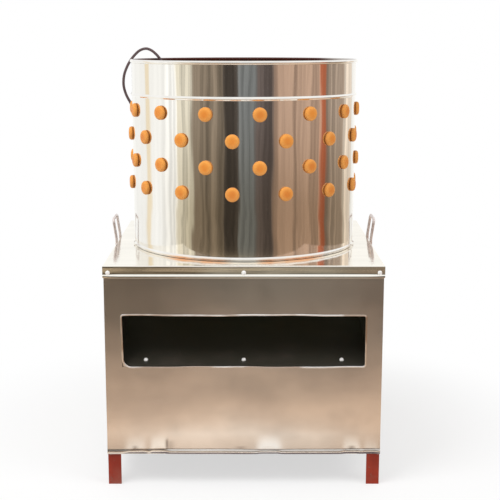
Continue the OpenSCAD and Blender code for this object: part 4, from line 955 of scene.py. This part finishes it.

# %% [markdown]
# ## Rubber
# The fingers are moulded orange rubber with a satin skin. Each one differs a little in tone, its button
# is painted paler towards the edge as a painted highlight, the foot of the button is darkened with
# painted shade where it meets the sheet, and the working end is paler where birds rub it. Every finger
# could have a material of its own. Instead, one material reads the values that the points carry.

# %% Orange rubber
rubber = Finish("orange_rubber")
tone, along, across = (rubber.attribute(name) for name in ("tone", "along", "across"))
mottle = rubber.noise(90.0, 4.0)
skin = rubber.noise(700.0, 2.0)
button = 1 - along.between(-0.006, 0.004)
# painted shade: a darker band at the foot of the button, where it meets the sheet
button_foot_shade = along.between(-0.0050, -0.0008) - along.between(0.0, 0.004)
orange = rubber.mix(tone, (0.80, 0.275, 0.026), (0.72, 0.225, 0.022))
orange = rubber.mix(mottle.between(0.35, 0.75) * 0.5, orange, (0.66, 0.18, 0.018))
# painted highlight: the button's shoulder is painted paler towards its edge
orange = rubber.mix(button * across.between(0.0030, 0.0150) * 0.55, orange, (0.86, 0.40, 0.085))
# the band of painted shade at the button's foot
orange = rubber.mix(button_foot_shade * 0.45, orange, (0.30, 0.085, 0.016))
orange = rubber.mix(along.between(0.03, 0.085) * 0.5, orange, (0.78, 0.34, 0.10))
rubber.set(Base_Color=orange, Roughness=0.42 + 0.16 * mottle, Normal=rubber.bump(skin, 0.15, 0.0003))
dress(rubber, *fingers)

# %% [markdown]
# ## Dark pieces
# The chute is painted black, and its near-black also stands in for shade in the outlet; deeper inside
# it is painted paler, as painted light. Belt and seal are black rubber, the plug and gland moulded
# plastic, and the leads have a brownish sheath. A plain dark colour would look like a hole in the
# picture, so one function gives each of them dust, changes of gloss and a little grain. Castings and
# the motor's enamel are made in the same way.

# %% Dark finishes
def dark(name, base, dust, gloss, grain_scale, grain_depth, metal=0.0, deeper_painted_light=None):
    """A dark coat: dust collects in noise patches, gloss varies, and a fine grain breaks the light. A
    paler colour takes over deeper behind the outlet: painted light on the shaded chute."""
    f = Finish(name)
    patch = f.noise(18.0, 4.0)
    grain = f.noise(grain_scale, 3.0)
    colour = f.mix(patch.between(0.45, 0.8) * 0.6, base, dust)
    if deeper_painted_light:
        colour = f.mix(f.axis("Y").between(-0.29, -0.10), colour, deeper_painted_light)
    f.set(Base_Color=colour, Metallic=metal, Roughness=gloss + 0.2 * patch,
          Normal=f.bump(grain, 0.2, grain_depth))
    return f


# the chute's near-black is partly its paint and partly painted shade; deeper in, painted light pales it
dress(dark("chute_black_and_shade", (0.029, 0.027, 0.020), (0.053, 0.044, 0.036), 0.35, 120.0, 0.0008,
           deeper_painted_light=(0.100, 0.106, 0.068)), "chute_floor", "chute_walls", "chute_support")
dress(dark("belt_rubber", (0.016, 0.016, 0.016), (0.05, 0.048, 0.045), 0.6, 600.0, 0.0004),
      "drive_belt", "shaft_seal")
dress(dark("black_moulding", (0.018, 0.017, 0.017), (0.04, 0.038, 0.036), 0.38, 900.0, 0.0003),
      plug, gland_piece, "lead_tie", "motor_capacitor", "cooling_fan")
dress(dark("lead_sheath", (0.095, 0.060, 0.064), (0.14, 0.100, 0.100), 0.45, 500.0, 0.0003),
      lead, motor_cord)
dress(dark("grey_iron", (0.14, 0.14, 0.145), (0.22, 0.20, 0.18), 0.4, 300.0, 0.0006, 0.6),
      "spindle_housing", "drive_hub", "driven_pulley", "motor_plate", "motor_stator", "motor_rotor",
      "motor_pulley")
dress(dark("motor_enamel", (0.055, 0.105, 0.115), (0.10, 0.13, 0.13), 0.3, 200.0, 0.0005),
      "motor_lower_bell", "motor_frame", "motor_upper_bell", "fan_cover", "terminal_box")

# %% [markdown]
# ## Floor, sky and lamps
# The floor and the sky are plain white to the camera and to mirrors, and dimmer as a light, so that
# the white doesn't wash out the machine. Close to the machine the floor keeps part of its own shading,
# which leaves a soft shadow.

# %% Floor and sky
FLOOR_HALF, NEAR_WHITE, SKY_LIGHT = 9, 0.62, 0.55
square = np.array([(-1, -1, 0), (1, -1, 0), (1, 1, 0), (-1, 1, 0)], float)
floor = add_piece("floor", square * FLOOR_HALF, [(0, 1, 2, 3)], None, None)
floor_finish = Finish("white_floor")
floor_grain = floor_finish.noise(3.0, 2.0)
floor_finish.set(Base_Color=floor_finish.mix(floor_grain, (0.93, 0.93, 0.93), (0.91, 0.91, 0.91)),
                 Roughness=0.9)
far_x, far_y = floor_finish.axis("X"), floor_finish.axis("Y")
far_out = ((far_x * far_x + far_y * far_y) ** 0.5).between(0.45, 1.0)
white = floor_finish.node("ShaderNodeEmission", {}, {"Color": (1.0, 1.0, 1.0), "Strength": 1.0})
shown = floor_finish.node("ShaderNodeMixShader", {}, {
    0: floor_finish.seen() * (NEAR_WHITE + (1 - NEAR_WHITE) * far_out),
    1: floor_finish.surface, 2: white})
floor_finish.put(floor_finish.output.inputs["Surface"], shown)
dress(floor_finish, floor)

world = bpy.data.worlds.new("studio")
bpy.context.scene.world = world
world.use_nodes = True
sky = Nodes(world.node_tree)
background = sky.tree.nodes["Background"]
sky.put(background.inputs["Color"], (1.0, 1.0, 1.0))
sky.put(background.inputs["Strength"],
        sky.node("ShaderNodeMapRange", {}, {"Value": sky.seen(), "To Min": SKY_LIGHT, "To Max": 1.0}))
print("sky lights at", SKY_LIGHT)

# %% [markdown]
# The shading comes from two soft boxes. A sun would cast hard shadows, and a large square lamp casts
# soft ones. Mirrors don't show the boxes: the bands on the metal come from the flags in the next step.

# %% Lamps
def add_lamp(name, place, aim, size, power):
    """A square soft box at a place, turned so that its -Z axis points at the aim."""
    data = bpy.data.lights.new(name, "AREA")
    data.size = size
    data.energy = power
    lamp = bpy.data.objects.new(name, data)
    away = np.asarray(place, float) - np.asarray(aim, float)
    flat = math.hypot(away[0], away[1])
    lamp.location = place
    lamp.rotation_euler = (math.atan2(flat, away[2]), 0.0, math.atan2(away[0], -away[1]))
    lamp.visible_glossy = False
    bpy.context.collection.objects.link(lamp)


add_lamp("key_box", (-1.6, -1.6, 3.6), (0, 0, 0.5), 2.0, 85)
add_lamp("fill_box", (2.6, -1.6, 2.8), (0, 0, 0.5), 2.0, 32)

# %% [markdown]
# ## What the metal sees
# Polished metal has hardly any colour of its own: it shows what stands around it. A panorama could be
# wrapped round the scene, but plain flags need no image, and each can be moved until its band sits in
# the right place. A ring of tall flags far out, and a mat on the floor in front of them, are there for
# reflections only. The flags are dark behind the camera, warm on the right and white on the left, which
# gives the drum its bands. Each line gives a card's name, the turn where it ends and its colour.

# %% Cards
CARDS = [
    ("white card", -116, (1.00, 1.00, 0.98)), ("cream card", -107, (0.92, 0.80, 0.60)),
    ("white card", -70, (1.00, 1.00, 0.98)), ("ivory card", -51, (0.74, 0.69, 0.57)),
    ("brown cloth", -20, (0.25, 0.20, 0.15)), ("dark cloth", -4, (0.075, 0.062, 0.052)),
    ("grey-blue cloth", 11, (0.21, 0.22, 0.22)), ("grey cloth", 29, (0.15, 0.12, 0.11)),
    ("tan card", 81, (0.50, 0.34, 0.25)), ("red card", 89, (0.40, 0.12, 0.06)),
    ("umber card", 119, (0.36, 0.28, 0.22)), ("pale card", 141, (0.80, 0.69, 0.58)),
    ("white card", 180, (1.00, 0.99, 0.96))]
print("cards:", ", ".join(name for name, _, _ in CARDS))

# %% [markdown]
# A card isn't even in colour: its edges are soft and folds shade it. On the floor a mat takes over from
# the cards. It is warm, and paler close to the machine, which gives the front sheet its change from dark
# to light. All of this is worked out for every point at once.

# %% Colours of the flags
FLOOR_DIMMING, SAND_MAT, BARE_FLOOR = (0.34, 0.38, 0.46), (0.90, 0.67, 0.50), (1.35, 1.27, 1.16)
RUNNER_GLOW, COOL_PATCH = (0.42, 0.33, 0.22), (0.22, 0.40, 0.58)


def flag_colours(turn, drift, radius, wall, rng):
    """Colour of the flags by their turn from the front in degrees and the drift of their edges at each
    point. Each card runs on to the turn where it ends, its edge is soft over a few degrees, and folds
    in the cloth multiply it. On the floor the cards grow darker and warmer, with a pale runner across;
    nearer the machine a sand mat takes over, and beside it lies bare floor with a cool patch."""
    at = turn[None, :] + drift
    tone = np.broadcast_to(np.array(CARDS[0][2]), at.shape + (3,)).copy()
    for (_, end, _), (_, _, colour) in zip(CARDS[:-1], CARDS[1:]):
        tone += ease((at - end) / 3 + 0.5)[..., None] * (np.array(colour) - tone)
    fold = np.interp(at, np.linspace(-200, 200, 161), rng.uniform(0.60, 1.45, 161)) \
        * np.interp(at, np.linspace(-200, 200, 401), rng.uniform(0.72, 1.28, 401))
    front = np.interp(np.abs(turn - 30), [85, 125], [1.0, 0.0])[None, :, None]
    tone = tone * (1 + (0.06 + 0.94 * front) * (fold[..., None] - 1))
    tone = tone * (1 - (1 - wall)[:, None, None] * front * np.array(FLOOR_DIMMING))
    runner = np.exp(-((radius - 2.71) / 0.14) ** 2)[:, None, None] * front \
        * np.interp(turn, [-14, 0, 14], [1.45, 1.15, 0.75])[None, :, None]
    tone = tone + runner * np.array(RUNNER_GLOW)
    far = np.clip((radius - 0.7) / 1.4, 0, 1)[:, None, None]
    near = tone + (np.array(SAND_MAT) - tone) * front
    tone = near * (1 - far) + tone * far
    bare = np.clip((0.66 - radius) / 0.08, 0, 1)[:, None, None]
    cool = np.exp(-((turn - 7.3) / 4.0) ** 4)[None, :, None] \
        * np.clip((0.54 - radius) / 0.06, 0, 1)[:, None, None]
    return tone + bare * (np.array(BARE_FLOOR) + cool * np.array(COOL_PATCH) - tone)


print("flag colours ready")

# %% [markdown]
# The flags are one sheet of points by turn and row: the first rows lie on the floor and run outwards,
# and the rest climb the ring. Each point carries its own colour.

# %% Flags
FLAG_TURNS, MAT_ROWS, WALL_ROWS, TOP_ROWS = 720, 50, 24, 6
flag_count = MAT_ROWS + WALL_ROWS + TOP_ROWS
turn = np.linspace(-180, 180, FLAG_TURNS, endpoint=False)
climb = np.linspace(0.0, 1.2, WALL_ROWS)
radius = np.concatenate([np.linspace(0.34, 4.4, MAT_ROWS), np.full(WALL_ROWS + TOP_ROWS, 4.5)])
level = np.concatenate([np.full(MAT_ROWS, 0.004), climb, np.linspace(1.25, 1.6, TOP_ROWS)])
wall = np.concatenate([np.zeros(MAT_ROWS), np.clip(climb / 0.6, 0, 1), np.ones(TOP_ROWS)])
flag_row = np.arange(flag_count)[:, None]
drift = 1.0 * np.sin(flag_row * 0.23 + np.radians(turn) * 7) \
    + 0.6 * np.sin(flag_row * 0.61 + np.radians(turn) * 17)
flag_angle = np.radians(turn - 90)
flag_points = np.stack(np.broadcast_arrays(
    radius[:, None] * np.cos(flag_angle), radius[:, None] * np.sin(flag_angle), level[:, None]), -1)
flags = add_piece("studio_flags", flag_points.reshape(-1, 3),
                  grid_quads(flag_count, FLAG_TURNS, close_cols=True), None, None)
flag_layer = flags.data.color_attributes.new("flag_colour", "FLOAT_COLOR", "POINT")
flag_rgb = flag_colours(turn, drift, radius, wall, np.random.default_rng(4)).reshape(-1, 3)
flag_rgba = np.column_stack([flag_rgb, np.ones(len(flag_rgb))]).astype(np.float32)
flag_layer.data.foreach_set("color", flag_rgba.ravel())
print("flag points:", len(flag_rgba))

# %% [markdown]
# A dark square frame close to the cabinet's foot dims the lowest reflection of the hem. It glows by
# itself, as the flags do, and neither the camera nor the lamps see them.

# %% Shade at the foot, and the glow of both
SHADE_HALF, SHADE_LEVEL, SHADE_GLOW = 0.41, 0.006, (0.20, 0.165, 0.18)
foot_frame = np.concatenate([square * half + [0, 0, SHADE_LEVEL] for half in (FLANGE, SHADE_HALF)])
foot_faces = [(k, k + 4, (k + 1) % 4 + 4, (k + 1) % 4) for k in range(4)]
foot_shade = add_piece("foot_shade", foot_frame, foot_faces, None, None)
flag_finish, shade_finish = Finish("flag_cloth"), Finish("shade_cloth")
cloth = flag_finish.node("ShaderNodeAttribute", {"attribute_name": "flag_colour"}, {}, "Color")
for card, finish, glow in ((flags, flag_finish, cloth), (foot_shade, shade_finish, SHADE_GLOW)):
    card.visible_camera = False
    card.visible_diffuse = False
    card.visible_shadow = False
    finish.set(Base_Color=(0.0, 0.0, 0.0), Roughness=1.0, Specular_IOR_Level=0.0, Emission_Strength=1.0,
               Emission_Color=glow)
    dress(finish, card)
